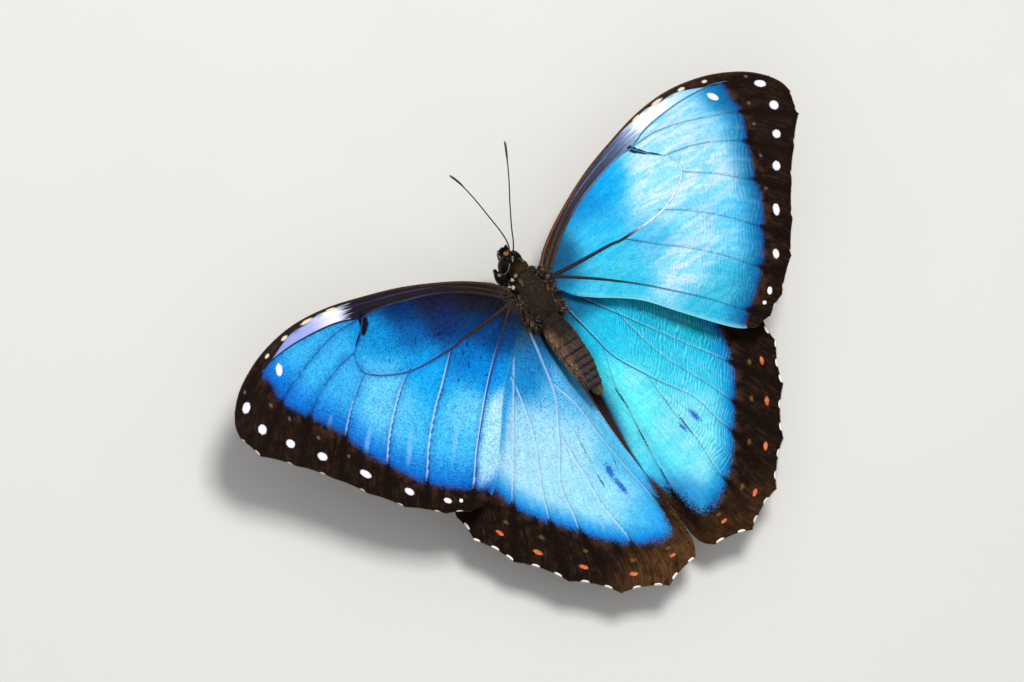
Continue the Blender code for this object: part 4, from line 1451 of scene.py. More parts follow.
def fringe_row(wing, row, spacing, rng):
    """One row of scales along the wing's outer margin; the second row's are shorter and lower."""
    margin = scalloped(wing["teeth"], wing["scallop"], np.linspace(0.0, 1.0, 1400))
    gone = np.concatenate([[0.0], np.cumsum(np.hypot(*np.diff(margin, axis=0).T))])

    def on_margin(at):
        return np.column_stack([np.interp(at, gone, margin[:, 0]), np.interp(at, gone, margin[:, 1])])

    at = np.arange(0.3, gone[-1] - 0.2, spacing)
    count = len(at)
    at = at + rng.uniform(-0.03, 0.03, count)
    place = on_margin(at)
    along = unit(on_margin(at + 0.1) - place)
    outward = np.column_stack([along[:, 1], -along[:, 0]])
    outward = unit(outward + along * rng.uniform(-0.25, 0.25, count)[:, None])
    root = place - outward * (FRINGE + 0.12)
    longest, shares = (FRINGE + 0.10, (0.8, 1.0)) if row == 0 else (FRINGE + 0.05, (0.55, 0.8))
    lengths = longest * rng.uniform(*shares, count)
    x, y = root.T
    roots = np.column_stack([root, wing["height"](x, y) + 0.05 - 0.07 * row])
    ahead = np.column_stack([outward, np.zeros(count)])
    tone = np.tile((34.0, 22.0, 19.0), (count, 1)) * rng.uniform(0.7, 1.4, count)[:, None]
    if wing is FORE:
        marks, pale = margin_marks(FORE, FORE_MARGIN_MARKS, 0.62, 0.5, 0.0), (238, 206, 150)
    else:
        marks, pale = margin_marks(HIND, HIND_LUNULES, 0.92, 0.8, 0.2), (250, 243, 226)
    tone[mark_field(marks, *place.T) > 0.0] = pale
    tones = (tone * 0.85, tone)
    return tuft_mesh(roots, ahead, straight_up(count), lengths, 0.055, 0.05, tones, wing_uv(x, y))


def make_fringe(wing, label, side, material):
    """Scales that stand out from the outer margin, in two rows of unequal length."""
    rng = np.random.default_rng(7 if wing is FORE else 9)
    rows = [fringe_row(wing, row, spacing, rng) for row, spacing in enumerate(FRINGE_SPACING)]
    sets = [on_side(row, side) for row in rows]
    make_tufts(f"{wing['name']}_{label}_fringe", sets, material)


# Body


def stations_at(stations, at):
    """The section between two stations, blended without a corner."""
    for first, second in zip(stations, stations[1:]):
        if at <= second[0]:
            share = float(ease(at, first[0], second[0]))
            return [a + (b - a) * share for a, b in zip(first[1:], second[1:])]
    return list(stations[-1][1:])


def oval_body(span, stations, bluntness, inset, rings=40, sides=40):
    """A rounded closed form along the body, from oval sections, set in by the coat's depth."""
    start, end = span[0] + inset, span[1] - inset
    turn = 2.0 * math.pi * np.arange(sides) / sides
    loops = []
    for i in range(1, rings):
        angle = math.pi * i / rings
        at = 0.5 - 0.5 * math.cos(angle)
        half, above, below, axis = stations_at(stations, at)
        scale = math.sin(angle) ** bluntness
        across = np.cos(turn) * scale * (half - inset)
        rise = np.where(np.sin(turn) > 0, above - inset, below - inset)
        upward = np.sin(turn) * scale * rise + axis
        loops.append(np.column_stack([across, np.full(sides, start + (end - start) * at), upward]))
    ends = [[(0.0, start, stations[0][4])], [(0.0, end, stations[-1][4])]]
    # rings of the other winding: each face starts at the same corner and runs the other way
    faces = [[face[0], *face[:0:-1]] for face in ring_faces(len(loops), sides)]
    return np.concatenate(loops + ends), faces


def oval(centre, radii, rings=24, sides=36):
    """An ellipsoid's points and faces."""
    points = []
    for i in range(1, rings):
        angle = math.pi * i / rings
        for k in range(sides):
            turn = 2.0 * math.pi * k / sides
            flat = math.sin(angle)
            points.append((flat * math.cos(turn), flat * math.sin(turn), math.cos(angle)))
    points += [(0.0, 0.0, 1.0), (0.0, 0.0, -1.0)]
    return np.asarray(points) * radii + centre, ring_faces(rings - 1, sides)


def fused(parts, voxel, smoothing):
    """The outer surface of overlapping closed forms, as one skin: its points and faces."""
    points, faces = joined(parts)
    shape = bpy.data.meshes.new("fused")
    shape.from_pydata((points * MM).tolist(), [], faces)
    holder = bpy.data.objects.new("fused", shape)
    bpy.context.scene.collection.objects.link(holder)
    remesh = holder.modifiers.new("skin", "REMESH")
    remesh.mode = "VOXEL"
    remesh.voxel_size = voxel * MM
    soften = holder.modifiers.new("soften", "SMOOTH")
    soften.factor = 0.5
    soften.iterations = smoothing
    bpy.context.view_layer.update()
    made = holder.evaluated_get(bpy.context.evaluated_depsgraph_get()).to_mesh()
    found = np.empty(len(made.vertices) * 3)
    made.vertices.foreach_get("co", found)
    normals = np.empty(len(made.vertices) * 3)
    made.vertices.foreach_get("normal", normals)
    found_faces = [list(face.vertices) for face in made.polygons]
    bpy.data.objects.remove(holder, do_unlink=True)
    bpy.data.meshes.remove(shape)
    return found.reshape(-1, 3) / MM, found_faces, normals.reshape(-1, 3)


BODY_TONE = (54.0, 43.0, 34.0)
# Pale and coloured marks of the head and shoulders, the last a painted highlight beside the right eye:
# (x, y, z, reach, colour)
MARKS = [
    (0.12, -8.85, 1.85, 0.13, (250, 240, 214)), (0.35, -8.5, 1.85, 0.19, (252, 244, 222)),
    (0.55, -8.2, 1.75, 0.13, (246, 234, 206)), (0.46, -10.2, 1.3, 0.46, (206, 146, 60)),
    (0.75, -10.35, 0.9, 0.3, (226, 150, 84)), (-0.41, -10.31, 1.2, 0.3, (140, 104, 44)),
    (0.92, -11.1, -0.5, 0.18, (230, 196, 120)), (0.98, -10.9, -1.2, 0.22, (236, 200, 120)),
    (1.15, -10.55, -1.8, 0.2, (222, 190, 120)), (3.55, -5.05, 0.2, 0.34, (200, 132, 84)),
    (1.5, -5.55, 1.6, 0.3, (190, 152, 72)), (1.95, -5.45, 1.5, 0.34, (236, 200, 108)),
    (2.4, -5.25, 1.1, 0.34, (246, 226, 168)), (-1.7, -5.5, 1.6, 0.28, (120, 96, 50)),
    (1.6, -4.6, 1.9, 0.3, (116, 100, 62)), (1.62, -4.0, 2.0, 0.3, (120, 104, 68)),
    (1.7, -3.5, 2.1, 0.28, (112, 94, 62)), (2.75, -7.0, -2.3, 0.38, (182, 180, 148)),
    (2.7, -7.6, -2.3, 0.38, (178, 174, 142)), (-2.75, -7.2, -2.3, 0.4, (150, 146, 120)),
    # a painted highlight beside the right eye
    (-1.4, -7.7, 1.0, 0.15, (228, 222, 200)),
]


def placed_marks(points):
    """The marks, each moved to the nearest place on the skin."""
    found = []
    for x, y, z, reach, colour in MARKS:
        nearest = points[np.argmin(np.linalg.norm(points - (x, y, z), axis=1))]
        found.append((*nearest, reach, colour))
    return found


def at_rings(rings, width, y):
    """1 where a ring lies, fading within the width."""
    return np.max([np.exp(-(((y - ring) / width) ** 2)) for ring in rings], axis=0)


def body_colour(points, marks):
    """The body's markings, for its skin and its coat alike."""
    x, y, z = points.T
    lobe = np.linalg.norm((points - LOBES[0][0]) / (0.95, 0.95, 0.9), axis=1)
    back = ease(z, 0.8, 2.2)
    collar = 1.0 - ease(-y, 6.9, 7.5)
    rings = at_rings(RINGS, 0.26, y) * ease(y, 8.0, 13.0) * (1.0 - 0.7 * ease(x, 0.6, 2.2))
    layers = [
        (ease(-y, 4.8, 5.6) * collar, (60, 46, 22)),
        (ease(-y, 4.6, 5.4) * collar * ease(x, 0.4, 1.3), (22, 16, 11)),  # its left side
        (ease(-y, 6.8, 7.6), (34, 25, 13)),  # head
        (ease(-y, 9.3, 9.9), (17, 13, 10)),  # palps
        (ease(y, -5.0, -3.0) * (1.0 - ease(y, 1.5, 4.0)) * back, (51, 41, 30)),
        (ease(y, 1.5, 4.0) * back, (44, 35, 25)),
        (ease(y, 8.0, 11.5) * back, (76, 63, 55)),  # top of the abdomen
        (ease(y, 15.5, 18.0) * back, (72, 64, 64)),
        (ease(y, 5.5, 8.0) * ease(x, 0.9, 2.4) * (1.0 - ease(z, 2.6, 3.6)), (134, 98, 78)),
        (ease(y, 5.5, 8.0) * ease(-x, 1.4, 3.0) * (1.0 - ease(z, 2.4, 3.4)), (88, 76, 66)),
        (ease(np.abs(x), 2.1, 3.0) * ease(y, -4.6, -3.0) * (1.0 - ease(y, 3.0, 6.0)), (50, 41, 34)),
        (ease(-z, 0.5, 2.5) * ease(y, -7.0, -5.0), (92, 74, 56)),  # below
        (ease(y, 20.6, 21.6), (90, 76, 60)),
        (ease(y, 21.7, 22.7), (136, 106, 44)),  # tip
        (rings * 0.75, (26, 21, 19)),
        (at_rings(PLATE_ARCS, 0.2, y - 0.10 * x * x) * ease(z, 1.0, 2.0) * 0.6, (26, 20, 13)),
        (1.0 - ease(lobe, 0.95, 1.2), (9, 7, 6)),
    ]
    for mx, my, mz, reach, tone in marks:
        distance = np.sqrt((x - mx) ** 2 + (y - my) ** 2 + (z - mz) ** 2)
        layers.append((1.0 - ease(distance, reach * 0.8, reach * 1.15), tone))
    colour = np.tile(BODY_TONE, (len(points), 1))
    for share, tone in layers:
        colour = over(np.clip(share, 0.0, 1.0), colour, np.asarray(tone, float))
    return colour


def eye_axes(side):
    """The eye's own directions as columns: across its globe, along the head, and up."""
    return np.array(Matrix.Rotation(EYE_NOD, 3, "X") @ Matrix.Rotation(-side * EYE_LEAN, 3, "Y"))


def seen_from_eye(points, side):
    """Points in shares of an eye's radii: out of the head, across the eye and up it."""
    centre = place_on_side(EYE_CENTRE, side)
    return (points - centre) @ eye_axes(side) * (side, 1.0, 1.0) / EYE_RADII


def socketed(points):
    """Draws the skin back from over each eye, so that the globe stands out of the head."""
    for _, side in SIDES:
        out, across, up = seen_from_eye(points, side).T
        away = np.hypot(across, up)
        over_globe = 0.8 * np.sqrt(np.maximum(1.0 - away * away, 0.0))
        limit = np.where(away < 1.0, over_globe, (away - 1.0) * 5.0 - 0.15)
        back = np.maximum(out - limit, 0.0) * (away < 1.3) * EYE_RADII[0] * side
        points = points - back[:, None] * eye_axes(side)[:, 0]
    return points


def skin_uv(points):
    """An unwrap of the body about its long axis."""
    x, y, z = points.T
    return np.column_stack([0.5 + np.arctan2(x, z + 0.3) / (2.0 * math.pi) * 0.96, (y + 12.5) / 37.0])


def skin_parts():
    """The overlapping closed forms that the skin is drawn over."""
    parts = [
        oval_body(THORAX_SPAN, THORAX, 0.42, COAT),
        oval_body(ABDOMEN_SPAN, ABDOMEN, 0.3, COAT, rings=60),
        oval_body(NECK_SPAN, NECK, 0.25, COAT), oval_body(HEAD_SPAN, HEAD, 0.55, 0.2), oval(*FACE),
    ]
    at = np.linspace(0.0, 1.0, 20)
    for _, side in SIDES:
        path = through([place_on_side(place, side) for place in PALP], at)
        parts.append(tube(path, np.interp(at, (0.0, 0.5, 1.0), (0.4, 0.42, 0.16)), 12))
        parts += [oval(place_on_side(centre, side), radii) for centre, radii in HINGES + LOBES]
    return parts


def skin_relief(points):
    """How far the skin stands out: overlapping plates, less the grooves between them."""
    x, y, z = points.T
    groove = at_rings(RINGS, 0.24, y) * ease(y, 6.0, 12.0)
    plate = np.interp(y, (4.6, *RINGS, 22.9), range(len(RINGS) + 2))
    overlap = 0.06 * (plate - np.floor(plate)) * ease(y, 6.0, 12.0)
    # the thorax: a groove down its back, and the arcs of the plate behind it
    seam = 0.10 * np.exp(-((x / 0.22) ** 2)) * ease(z, 1.6, 2.6) * ease(y, -4.5, -3.0)
    seam = seam * (1.0 - ease(y, 1.6, 2.6))
    arc = 0.13 * at_rings(PLATE_ARCS, 0.18, y - 0.10 * x * x) * ease(z, 1.0, 2.0)
    return overlap - RING_DEPTH * groove - seam - arc


def make_skin():
    """One skin over the head, thorax and abdomen, with the abdomen's rings."""
    points, faces, normals = fused(skin_parts(), SKIN_VOXEL, 3)
    points = socketed(points + normals * skin_relief(points)[:, None])
    marks = placed_marks(points)
    make_piece(
        "body_skin", points, faces, [skin_material()],
        [
            "head", "collar", "thorax", "abdomen", "palp_left", "palp_right",
            "tegula_left", "tegula_right",
        ],
        colours={"tint": linear(body_colour(points, marks))}, uv=skin_uv(points),
    )
    return (points, faces, normals), marks


def scattered(rng, points, faces, normals, density):
    """Random places on a surface and their normals, with density as their number per square mm."""
    halves = [face[:3] for face in faces]
    halves += [[face[0], face[2], face[3]] for face in faces if len(face) == 4]
    corners = np.array(halves)
    a, b, c = points[corners[:, 0]], points[corners[:, 1]], points[corners[:, 2]]
    areas = np.linalg.norm(np.cross(b - a, c - a), axis=1) / 2.0
    weight = areas * density((a + b + c) / 3.0)
    chosen = rng.choice(len(corners), int(weight.sum()), p=weight / weight.sum())
    u, v = rng.random(len(chosen)), rng.random(len(chosen))
    flip = u + v > 1.0
    u, v = np.where(flip, 1.0 - u, u)[:, None], np.where(flip, 1.0 - v, v)[:, None]
    places = a[chosen] + (b - a)[chosen] * u + (c - a)[chosen] * v
    first, second, third = (normals[corners[chosen, i]] for i in range(3))
    return places, unit(first * (1 - u - v) + second * u + third * v)


def in_eye(points):
    """How near each point is to an eye's surface: under 1 is inside it."""
    return np.min([np.linalg.norm(seen_from_eye(points, side), axis=1) for _, side in SIDES], axis=0)


def laid_back(roots):
    """Hair lies towards the tail, turning outwards on the sides."""
    ahead = np.tile((0.0, 1.0, 0.0), (len(roots), 1))
    ahead[:, 0] = 0.25 * np.sign(roots[:, 0]) * ease(np.abs(roots[:, 0]), 1.0, 3.0)
    return ahead


def up_the_palps(roots):
    """Hair of the head, which lies up the palps in front."""
    ahead = laid_back(roots)
    ahead[roots[:, 1] < -10.4] = (0.0, -0.35, 1.0)
    return ahead


def outwards(roots):
    """Hair that fans from the body's sides over the wings."""
    return np.column_stack([np.sign(roots[:, 0]), 0.25 + 0.12 * roots[:, 1], np.full(len(roots), 0.05)])


def hair(seed, body, density, length, width, lift, tones, warm=0.05, splay=0.25, lie=laid_back,
         tip=1.2):
    """Tufts over the part of the body where density is above 0.

    tones holds the darkest and the lightest, as shares of the skin's colour. warm is the share
    of rusty hairs, splay how far they stray from the way they lie, tip how much their ends pale.
    """
    skin, marks = body
    rng = np.random.default_rng(seed)
    roots, up = scattered(rng, *skin, density)
    bare = in_eye(roots) > 1.03
    roots, up = roots[bare], up[bare]
    count = len(roots)
    ahead = lie(roots) + rng.normal(0.0, splay, (count, 3))
    long = length(roots) * rng.uniform(0.65, 1.2, count)
    colour = body_colour(roots, marks) * rng.uniform(*tones, count)[:, None]
    rusty = rng.random(count) < warm * (1.0 + 3.0 * ease(np.abs(roots[:, 0]), 2.2, 3.2))
    colour[rusty] = colour[rusty] * (1.5, 1.4, 1.3)
    end = np.clip(colour * rng.uniform(0.9, 2.0 * tip - 0.9, count)[:, None], 0, 250)
    widths, lifts = width * rng.uniform(0.7, 1.2, count), lift * rng.uniform(0.5, 1.3, count)
    return tuft_mesh(roots, ahead, up, long, widths, lifts, (colour * 0.7, end), skin_uv(roots))


def band(low, high):
    """1 for points between two places along the body, and 0 for others."""
    return lambda p: (p[:, 1] > low) & (p[:, 1] <= high)


def flank(p, start=2.0, end=3.2):
    """1 on the body's sides, 0 in its middle."""
    return ease(np.abs(p[:, 0]), start, end)


def belly(p):
    """1 on the body's underside, 0 on its back."""
    return ease(-p[:, 2], 0.5, 2.5)


def coat_of_head(body, marked):
    head = band(-12.5, -6.9)
    soft = {"splay": 0.4, "lie": up_the_palps}

    def short(p):
        return 0.32 + 0.25 * belly(p)

    def long(p):
        return 0.6 + 0.25 * belly(p)

    return [
        hair(11, body, lambda p: 60.0 * head(p) * ~marked(p), short, 0.035, 0.4, (0.45, 1.15), **soft),
        hair(14, body, lambda p: 10.0 * head(p) * ~marked(p), long, 0.05, 0.6, (0.6, 1.7), **soft),
    ]


def coat_of_thorax(body, marked):
    thorax = band(-6.9, 5.6)

    def dense(p):
        return 36.0 * thorax(p) * ~marked(p)

    def sparse(p):
        return (1.5 + 8.0 * flank(p, 2.0, 2.8)) * thorax(p) * ~marked(p) * (p[:, 1] > -6.0)

    def short(p):
        return 0.42 + 0.3 * flank(p) + 0.4 * belly(p)

    def long(p):
        return 0.8 + 0.4 * flank(p) + 0.5 * belly(p)

    return [
        hair(12, body, dense, short, 0.042, 0.16, (0.6, 1.15), splay=0.2),
        hair(16, body, sparse, long, 0.075, 0.22, (0.5, 1.8), tip=1.35),
    ]


def fan_of_thorax(body):
    """Hair that stands out from its sides over the wings, with a few long pale hairs."""

    def dense(p):
        return 17.0 * band(-3.0, 5.0)(p) * (flank(p, 2.3, 2.9) > 0.5) * (np.abs(p[:, 2] - 0.6) < 1.4)

    def few(p):
        return 3.0 * band(-4.5, 5.5)(p) * (flank(p, 2.2, 2.8) > 0.5) * (p[:, 2] > -1.2)

    def short(p):
        return 0.6 + 0.6 * flank(p, 2.6, 3.6)

    def long(p):
        return np.full(len(p), 1.15)

    return [
        hair(17, body, dense, short, 0.05, 0.22, (0.25, 1.0), splay=0.35, lie=outwards, tip=1.7),
        hair(19, body, few, long, 0.055, 0.35, (2.2, 4.4), warm=0.0, splay=0.7, lie=outwards),
    ]


def coat_of_abdomen(body):
    abdomen = band(5.6, 23.0)

    def sparse(p):
        return (1.0 + 6.0 * flank(p, 1.2, 2.4)) * abdomen(p)

    def short(p):
        return 0.36 + 0.2 * flank(p) + 0.35 * belly(p)

    def long(p):
        return 0.7 + 0.35 * flank(p, 1.6, 3.0) + 0.35 * belly(p)

    return [
        hair(13, body, lambda p: 34.0 * abdomen(p), short, 0.042, 0.15, (0.6, 1.12), splay=0.18),
        hair(18, body, sparse, long, 0.07, 0.2, (0.5, 1.8), warm=0.08, tip=1.35),
    ]


def make_coat(body):
    """Short hair lying back over the body, longer along its sides and at the wing roots."""
    material = coat_material()

    def marked(p):
        near = [np.linalg.norm(p - mark[:3], axis=1) < mark[3] * 1.2 for mark in body[1]]
        return np.max(near, axis=0)

    pale = hair(
        15, body, lambda p: 190.0 * marked(p), lambda p: np.full(len(p), 0.26), 0.06, 0.3,
        (0.85, 1.1), warm=0.0, splay=0.2, tip=1.0,
    )
    make_tufts("head_coat", coat_of_head(body, marked), material)
    make_tufts("marks_coat", [pale], material)
    make_tufts("thorax_coat", coat_of_thorax(body, marked), material)
    make_tufts("thorax_fan", fan_of_thorax(body), material)
    make_tufts("abdomen_coat", coat_of_abdomen(body), material)


def root_hair(wing, label, rng):
    """Long hair over a wing's root, a few of its ends pale."""
    count = 1900 if label == "left" else 1300
    s = rng.random(count) ** 1.8 * (0.075 if wing is FORE else 0.10)
    t = rng.random(count)
    plan = wing_plan(wing, s, t)
    x, y = plan.T
    ahead = wing_plan(wing, s + 0.01, t) - plan
    ahead = np.column_stack([unit(ahead) + rng.normal(0.0, 0.25, (count, 2)), np.zeros(count)])
    roots = np.column_stack([x, y, wing["height"](x, y) + MEMBRANE / 2.0])
    long = (1.25 - 5.0 * s) * rng.uniform(0.5, 1.1, count)
    colour = np.tile((36.0, 28.0, 27.0), (count, 1)) * rng.uniform(0.5, 1.4, count)[:, None]
    tip = colour + np.outer(rng.random(count) ** 3, (90.0, 76.0, 70.0))
    tip[rng.random(count) < 0.08] = (186.0, 172.0, 164.0)
    tones = (colour * 0.8, tip)
    return tuft_mesh(roots, ahead, straight_up(count), long, 0.045, 0.2, tones, wing_uv(x, y))


def fold_hair(rng, label):
    """Brown hair along the inner margin of the hindwing, beside the abdomen and just behind it."""
    count = 1800 if label == "right" else 700
    s = rng.uniform(0.06, 0.52, count)
    plan = wing_plan(HIND, s, 1.0 - 0.03 * rng.random(count))
    reach = (1.2 if label == "right" else 0.6) * (1.0 - 0.75 * ease(plan[:, 1], 20.0, 34.0))
    plan[:, 0] += rng.random(count) ** 1.5 * reach + 0.1
    x, y = plan.T
    roots = np.column_stack([x, y, hind_height(x, y) + MEMBRANE / 2.0])
    slope = (hind_height(x + 0.05, y) - hind_height(x - 0.05, y)) / 0.1
    up = unit(np.column_stack([-slope, np.zeros(count), np.ones(count)]))
    ahead = np.column_stack([rng.normal(0.12, 0.15, count), np.ones(count), np.zeros(count)])
    colour = np.tile((56.0, 40.0, 35.0), (count, 1)) * rng.uniform(0.6, 1.5, count)[:, None]
    lengths = rng.uniform(0.6, 1.2, count) * (1.0 - 0.4 * ease(y, 22.0, 34.0))
    return tuft_mesh(roots, ahead, up, lengths, 0.04, 0.14, (colour * 0.8, colour), wing_uv(x, y))


def make_root_hair(material):
    """Long hair over the wing roots, and down the folds beside the abdomen."""
    for wing, seed in ((FORE, 21), (HIND, 22)):
        for label, side in SIDES:
            rng = np.random.default_rng(seed)
            sets = [root_hair(wing, label, rng)]
            if wing is HIND:
                sets.append(fold_hair(rng, label))
            sets = [on_side(tufts, side) for tufts in sets]
            make_tufts(f"{wing['name']}_{label}_root_hair", sets, material)


def make_eyes():
    material = eye_material()
    rim_material = coat_material()
    for label, side in SIDES:
        points, faces = oval((0.0, 0.0, 0.0), EYE_RADII, 40, 56)
        points = points @ eye_axes(side).T + place_on_side(EYE_CENTRE, side)
        make_piece(f"eye_{label}_globe", points, faces, [material], [f"eye_{label}"])
        make_eye_rim(label, side, rim_material)


def make_eye_rim(label, side, material):
    """The line of pale scales round the back of the eye."""
    rng = np.random.default_rng(31)
    count = 420
    angle = rng.uniform(math.radians(50.0), math.radians(165.0), count)
    out, across, up_eye = eye_axes(side).T
    out = out * side
    across_part, up_part = across * EYE_RADII[1] * 1.03, up_eye * EYE_RADII[2] * 1.03
    roots = np.outer(np.sin(angle), across_part) + np.outer(np.cos(angle), up_part)
    roots = roots + out * 0.05 + place_on_side(EYE_CENTRE, side) + rng.normal(0.0, 0.05, (count, 3))
    up = unit(np.outer(np.sin(angle), across) + np.outer(np.cos(angle), up_eye) + out * 0.5)
    ahead = np.outer(np.cos(angle), across_part) - np.outer(np.sin(angle), up_part) + out * 0.3
    # painted shade: the right rim is made darker than the left
    bright = (1.0 if side > 0 else 0.7) * rng.uniform(0.6, 1.15, count)[:, None]
    tone = np.tile((188.0, 170.0, 136.0), (count, 1)) * bright
    tones = (tone * 0.8, np.clip(tone * 1.1, 0, 250))
    made = tuft_mesh(roots, ahead, up, 0.32, 0.055, 0.35, tones, skin_uv(roots))
    make_tufts(f"eye_{label}_rim", [made], material)


def make_antennae():
    """Ringed rods that swell to a warmer club."""
    material = feeler_material()
    sides = 12
    at = np.linspace(0.0, 1.0, 260)
    radii = 0.135 - 0.02 * at + 0.11 * ease(at, 0.80, 0.93) - 0.13 * ease(at, 0.965, 1.0)
    radii = radii + 0.012 * np.sin(at * 2.0 * math.pi * 42.0)
    radii = radii + 0.10 * (1.0 - ease(at, 0.0, 0.03))
    tone = np.asarray((22.0, 19.0, 18.0)) + np.outer(ease(at, 0.82, 1.0), (60.0, 42.0, 24.0))
    tint = linear(along_tube(tone, sides))
    for label, side in SIDES:
        path = through([place_on_side(place, side) for place in ANTENNA], at)
        points, faces = tube(path, radii, sides)
        make_piece(
            f"antenna_{label}_rod", points, faces, [material], [f"antenna_{label}"],
            colours={"tint": tint},
        )


def make_proboscis():
    at = np.linspace(0.0, 1.0, 240)
    angle = math.radians(60.0) - 2.0 * math.pi * COIL_TURNS * at
    radius = COIL_OUTER + (COIL_INNER - COIL_OUTER) * at
    _, y, z = COIL_CENTRE
    path = np.column_stack([np.zeros(len(at)), y + radius * np.cos(angle), z + radius * np.sin(angle)])
    radii = 0.17 - 0.07 * at + 0.008 * np.sin(at * 2.0 * math.pi * 60.0)
    points, faces = tube(path, radii, 14)
    tone = np.tile((58.0, 38.0, 26.0), (len(points), 1))
    make_piece(
        "proboscis_coil", points, faces, [feeler_material()], ["proboscis"],
        colours={"tint": linear(tone)},
    )


def tegula_colour(points, label):
    """A plate with a spot in front: dark with a cream one on the left, olive on the right."""
    colour = np.tile(TEGULA_TONES[label], (len(points), 1))
    inner = ease(-(points[:, 0] - TEGULA_CENTRE[0]), 0.3, 0.7)
    colour = over(inner, colour, np.asarray((104.0, 88.0, 66.0)))
    spot = 1.0 - ease(np.linalg.norm(points - TEGULA_SPOT, axis=1), 0.34, 0.5)
    return over(spot, colour, np.asarray(TEGULA_SPOT_TONES[label]))


def make_tegulae(material):
    """The small plates over the forewing hinges, with their scales."""
    radii = np.array(TEGULA_RADII) - 0.12
    count = 700
    for label, side in SIDES:
        rng = np.random.default_rng(41)
        points, faces = oval(TEGULA_CENTRE, radii, 20, 28)
        places = unit(rng.normal(0.0, 1.0, (count, 3)))
        places[:, 2] = np.abs(places[:, 2])
        roots = places * radii + TEGULA_CENTRE
        ahead = np.tile((0.35, 1.0, 0.0), (count, 1)) + rng.normal(0.0, 0.3, (count, 3))
        tone = tegula_colour(roots, label) * rng.uniform(0.7, 1.25, count)[:, None]
        tones = (tone * 0.85, np.clip(tone, 0, 255))
        long = rng.uniform(0.25, 0.45, count)
        tufts = tuft_mesh(roots, ahead, unit(places / radii), long, 0.05, 0.2, tones, skin_uv(roots))
        tint = linear(tegula_colour(points, label))
        points, faces = on_side((points, faces), side)
        make_piece(
            f"tegula_{label}_plate", points, faces, [skin_material()],
            colours={"tint": tint}, uv=skin_uv(points),
        )
        make_tufts(f"tegula_{label}_scales", [on_side(tufts, side)], material)


def spines(rng, path, radii, count, length):
    """Short stiff spines along a leg, on all its sides."""
    at = rng.integers(2, len(path) - 1, count)
    ahead = unit(np.gradient(path, axis=0))[at]
    aside = unit(np.cross(ahead, (0.0, 0.0, 1.0)))
    turn = rng.uniform(0.0, 2.0 * math.pi, count)[:, None]
    up = unit(aside * np.cos(turn) + np.cross(aside, ahead) * np.sin(turn))
    roots = path[at] + up * (radii[at] * 0.85)[:, None]
    tone = np.tile((46.0, 34.0, 26.0), (count, 1)) * rng.uniform(0.7, 1.5, count)[:, None]
    uv = np.column_stack([at / len(path), turn[:, 0] / 6.3])
    return tuft_mesh(roots, ahead + up * 0.1, up, length, 0.03, 0.7, (tone, tone), uv)


def leg_piece(name, path, radii, node, tone, seed, count, length, materials):
    """One part of a leg, with its spines: their number and length."""
    cuticle, coat = materials
    rng = np.random.default_rng(seed)
    points, faces = tube(path, radii, LEG_SIDES)
    tint = np.tile(linear(tone), (len(points), 1))
    make_piece(name, points, faces, [cuticle], [node], colours={"tint": tint})
    make_tufts(f"{name}_spines", [spines(rng, path, radii, count, length)], coat)


def standing(place, side):
    """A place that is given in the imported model's frame, on the side asked for."""
    return unposed([place_on_side(place, side)])[0]


def make_leg(kind, label, side, number, materials):
    """A thigh, a shin and a foot that lies on the floor."""
    spots, node = LEGS[kind], f"{kind}_{label}"
    at = np.linspace(0.0, 1.0, 60)
    tone = np.array(LEG_TONE)
    hip = np.array(place_on_side(spots["hip"], side))
    knee, ankle = standing(spots["knee"], side), standing(spots["ankle"], side)
    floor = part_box(f"{node}_tarsus")[0].z / MM
    toe = standing((*spots["toe"], floor + 0.2), side)
    heel = standing((*spots["ankle"][:2], floor + 0.26), side)
    thigh = 0.42 - 0.12 * at + 0.05 * np.sin(at * math.pi)
    shin = 0.29 - 0.05 * at + 0.04 * hump(at, 0.03, 0.05)
    foot = 0.15 + 0.03 * np.abs(np.sin(at * math.pi * 5.0)) - 0.02 * at
    for part, solid, start, end, radii, bright, seed, count, length in (
        ("thigh", "femur", hip, knee, thigh, 1.0, 50, 420, 0.4),
        ("shin", "tibia", knee, ankle, shin, 1.1, 60, 240, 0.38),
        ("foot", "tarsus", heel, toe, foot, 1.35, 70, 160, 0.22),
    ):
        path = start + (end - start) * at[:, None]
        leg_piece(
            f"{node}_{part}", path, radii, f"{node}_{solid}", tone * bright, seed + number,
            count, length, materials,
        )


def make_legs(coat):
    materials = (leg_material(), coat)
    for number, kind in enumerate(LEGS):
        for label, side in SIDES:
            make_leg(kind, label, side, number, materials)


def make_forelegs(coat):
    """The small brush-like forelegs, folded below the head, with a few pale hairs."""
    material = leg_material()
    at = np.linspace(0.0, 1.0, 80)
    radii = np.interp(at, (0.0, 0.5, 1.0), (0.3, 0.3, 0.16))
    count = 1500
    for label, side in SIDES:
        rng = np.random.default_rng(81)
        path = through([place_on_side(place, side) for place in FORELEG], at)
        points, faces = tube(path, radii, LEG_SIDES)
        tint = np.tile(linear((16.0, 13.0, 12.0)), (len(points), 1))
        make_piece(
            f"foreleg_{label}_limb", points, faces, [material], [f"foreleg_{label}"],
            colours={"tint": tint},
        )
        points, faces, uv, tones = spines(rng, path, radii, count, 0.5)
        tones = tones * 0.45
        tones[np.repeat(rng.random(count) < 0.08, 10)] = (190.0, 184.0, 150.0)
        make_tufts(f"foreleg_{label}_brush", [(points, faces, uv, tones)], coat)


# Studio


def make_floor():
    """A plain square below the butterfly."""
    shape = bpy.data.meshes.new("floor")
    half = FLOOR_HALF
    corners = [(-half, -half, 0.0), (half, -half, 0.0), (half, half, 0.0), (-half, half, 0.0)]
    shape.from_pydata(corners, [], [(0, 1, 2, 3)])
    shape.materials.append(floor_material())
    floor = bpy.data.objects.new("studio_floor", shape)
    bpy.context.scene.collection.objects.link(floor)


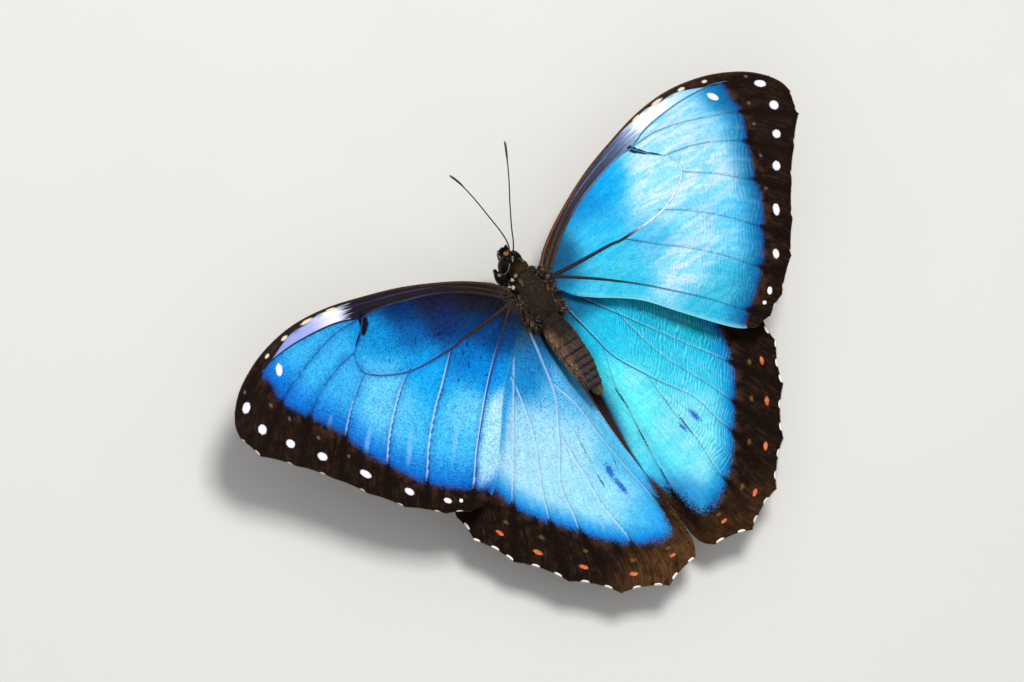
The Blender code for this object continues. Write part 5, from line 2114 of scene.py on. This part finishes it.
def add_area_light(name, direction, distance, size, power, colour):
    """A soft square light that looks at the butterfly from a direction in its own frame."""
    light = bpy.data.lights.new(name, "AREA")
    light.size = size
    light.energy = power
    light.color = colour
    holder = bpy.data.objects.new(name, light)
    towards = Vector(turned([direction])[0]).normalized()
    holder.location = towards * distance
    holder.rotation_euler = towards.to_track_quat("Z", "Y").to_euler()
    bpy.context.scene.collection.objects.link(holder)


def make_lights():
    add_area_light("key", *KEY_LIGHT)
    add_area_light("fill", *FILL_LIGHT)
    world = bpy.data.worlds.new("studio")
    world.use_nodes = True
    sky = world.node_tree.nodes["Background"]
    sky.inputs["Color"].default_value = SKY_COLOUR
    sky.inputs["Strength"].default_value = SKY_STRENGTH
    bpy.context.scene.world = world
    bpy.context.scene.view_settings.view_transform = "Standard"


def make_camera():
    lens = bpy.data.cameras.new("camera")
    lens.lens = CAMERA_LENS
    lens.sensor_width = CAMERA_SENSOR
    lens.clip_start = 0.05
    lens.clip_end = 20.0
    camera = bpy.data.objects.new("camera", lens)
    look = Vector(turned([CAMERA_LOOK])[0]).normalized()
    right = Vector(turned([CAMERA_RIGHT])[0]).normalized()
    up = right.cross(look)
    place = Vector(posed([CAMERA_PLACE])[0])
    turn = Matrix((right, up, -look)).transposed()
    camera.matrix_world = Matrix.Translation(place) @ turn.to_4x4()
    bpy.context.scene.collection.objects.link(camera)
    bpy.context.scene.camera = camera


def make_butterfly():
    upper, lower = upper_wing_material(), lower_wing_material()
    ribs, fringe, coat = vein_material(), fringe_material(), coat_material()
    for label, side in SIDES:
        for wing in (FORE, HIND):
            make_wing(wing, label, side, upper, lower)
            make_veins(wing, label, side, ribs)
            make_fringe(wing, label, side, fringe)
        make_front_rib(label, side, ribs)
    make_root_hair(coat)
    body = make_skin()
    make_coat(body)
    make_tegulae(coat)
    make_eyes()
    make_antennae()
    make_proboscis()
    make_legs(coat)
    make_forelegs(coat)


make_butterfly()
make_floor()
make_lights()
make_camera()
bpy.context.view_layer.update()
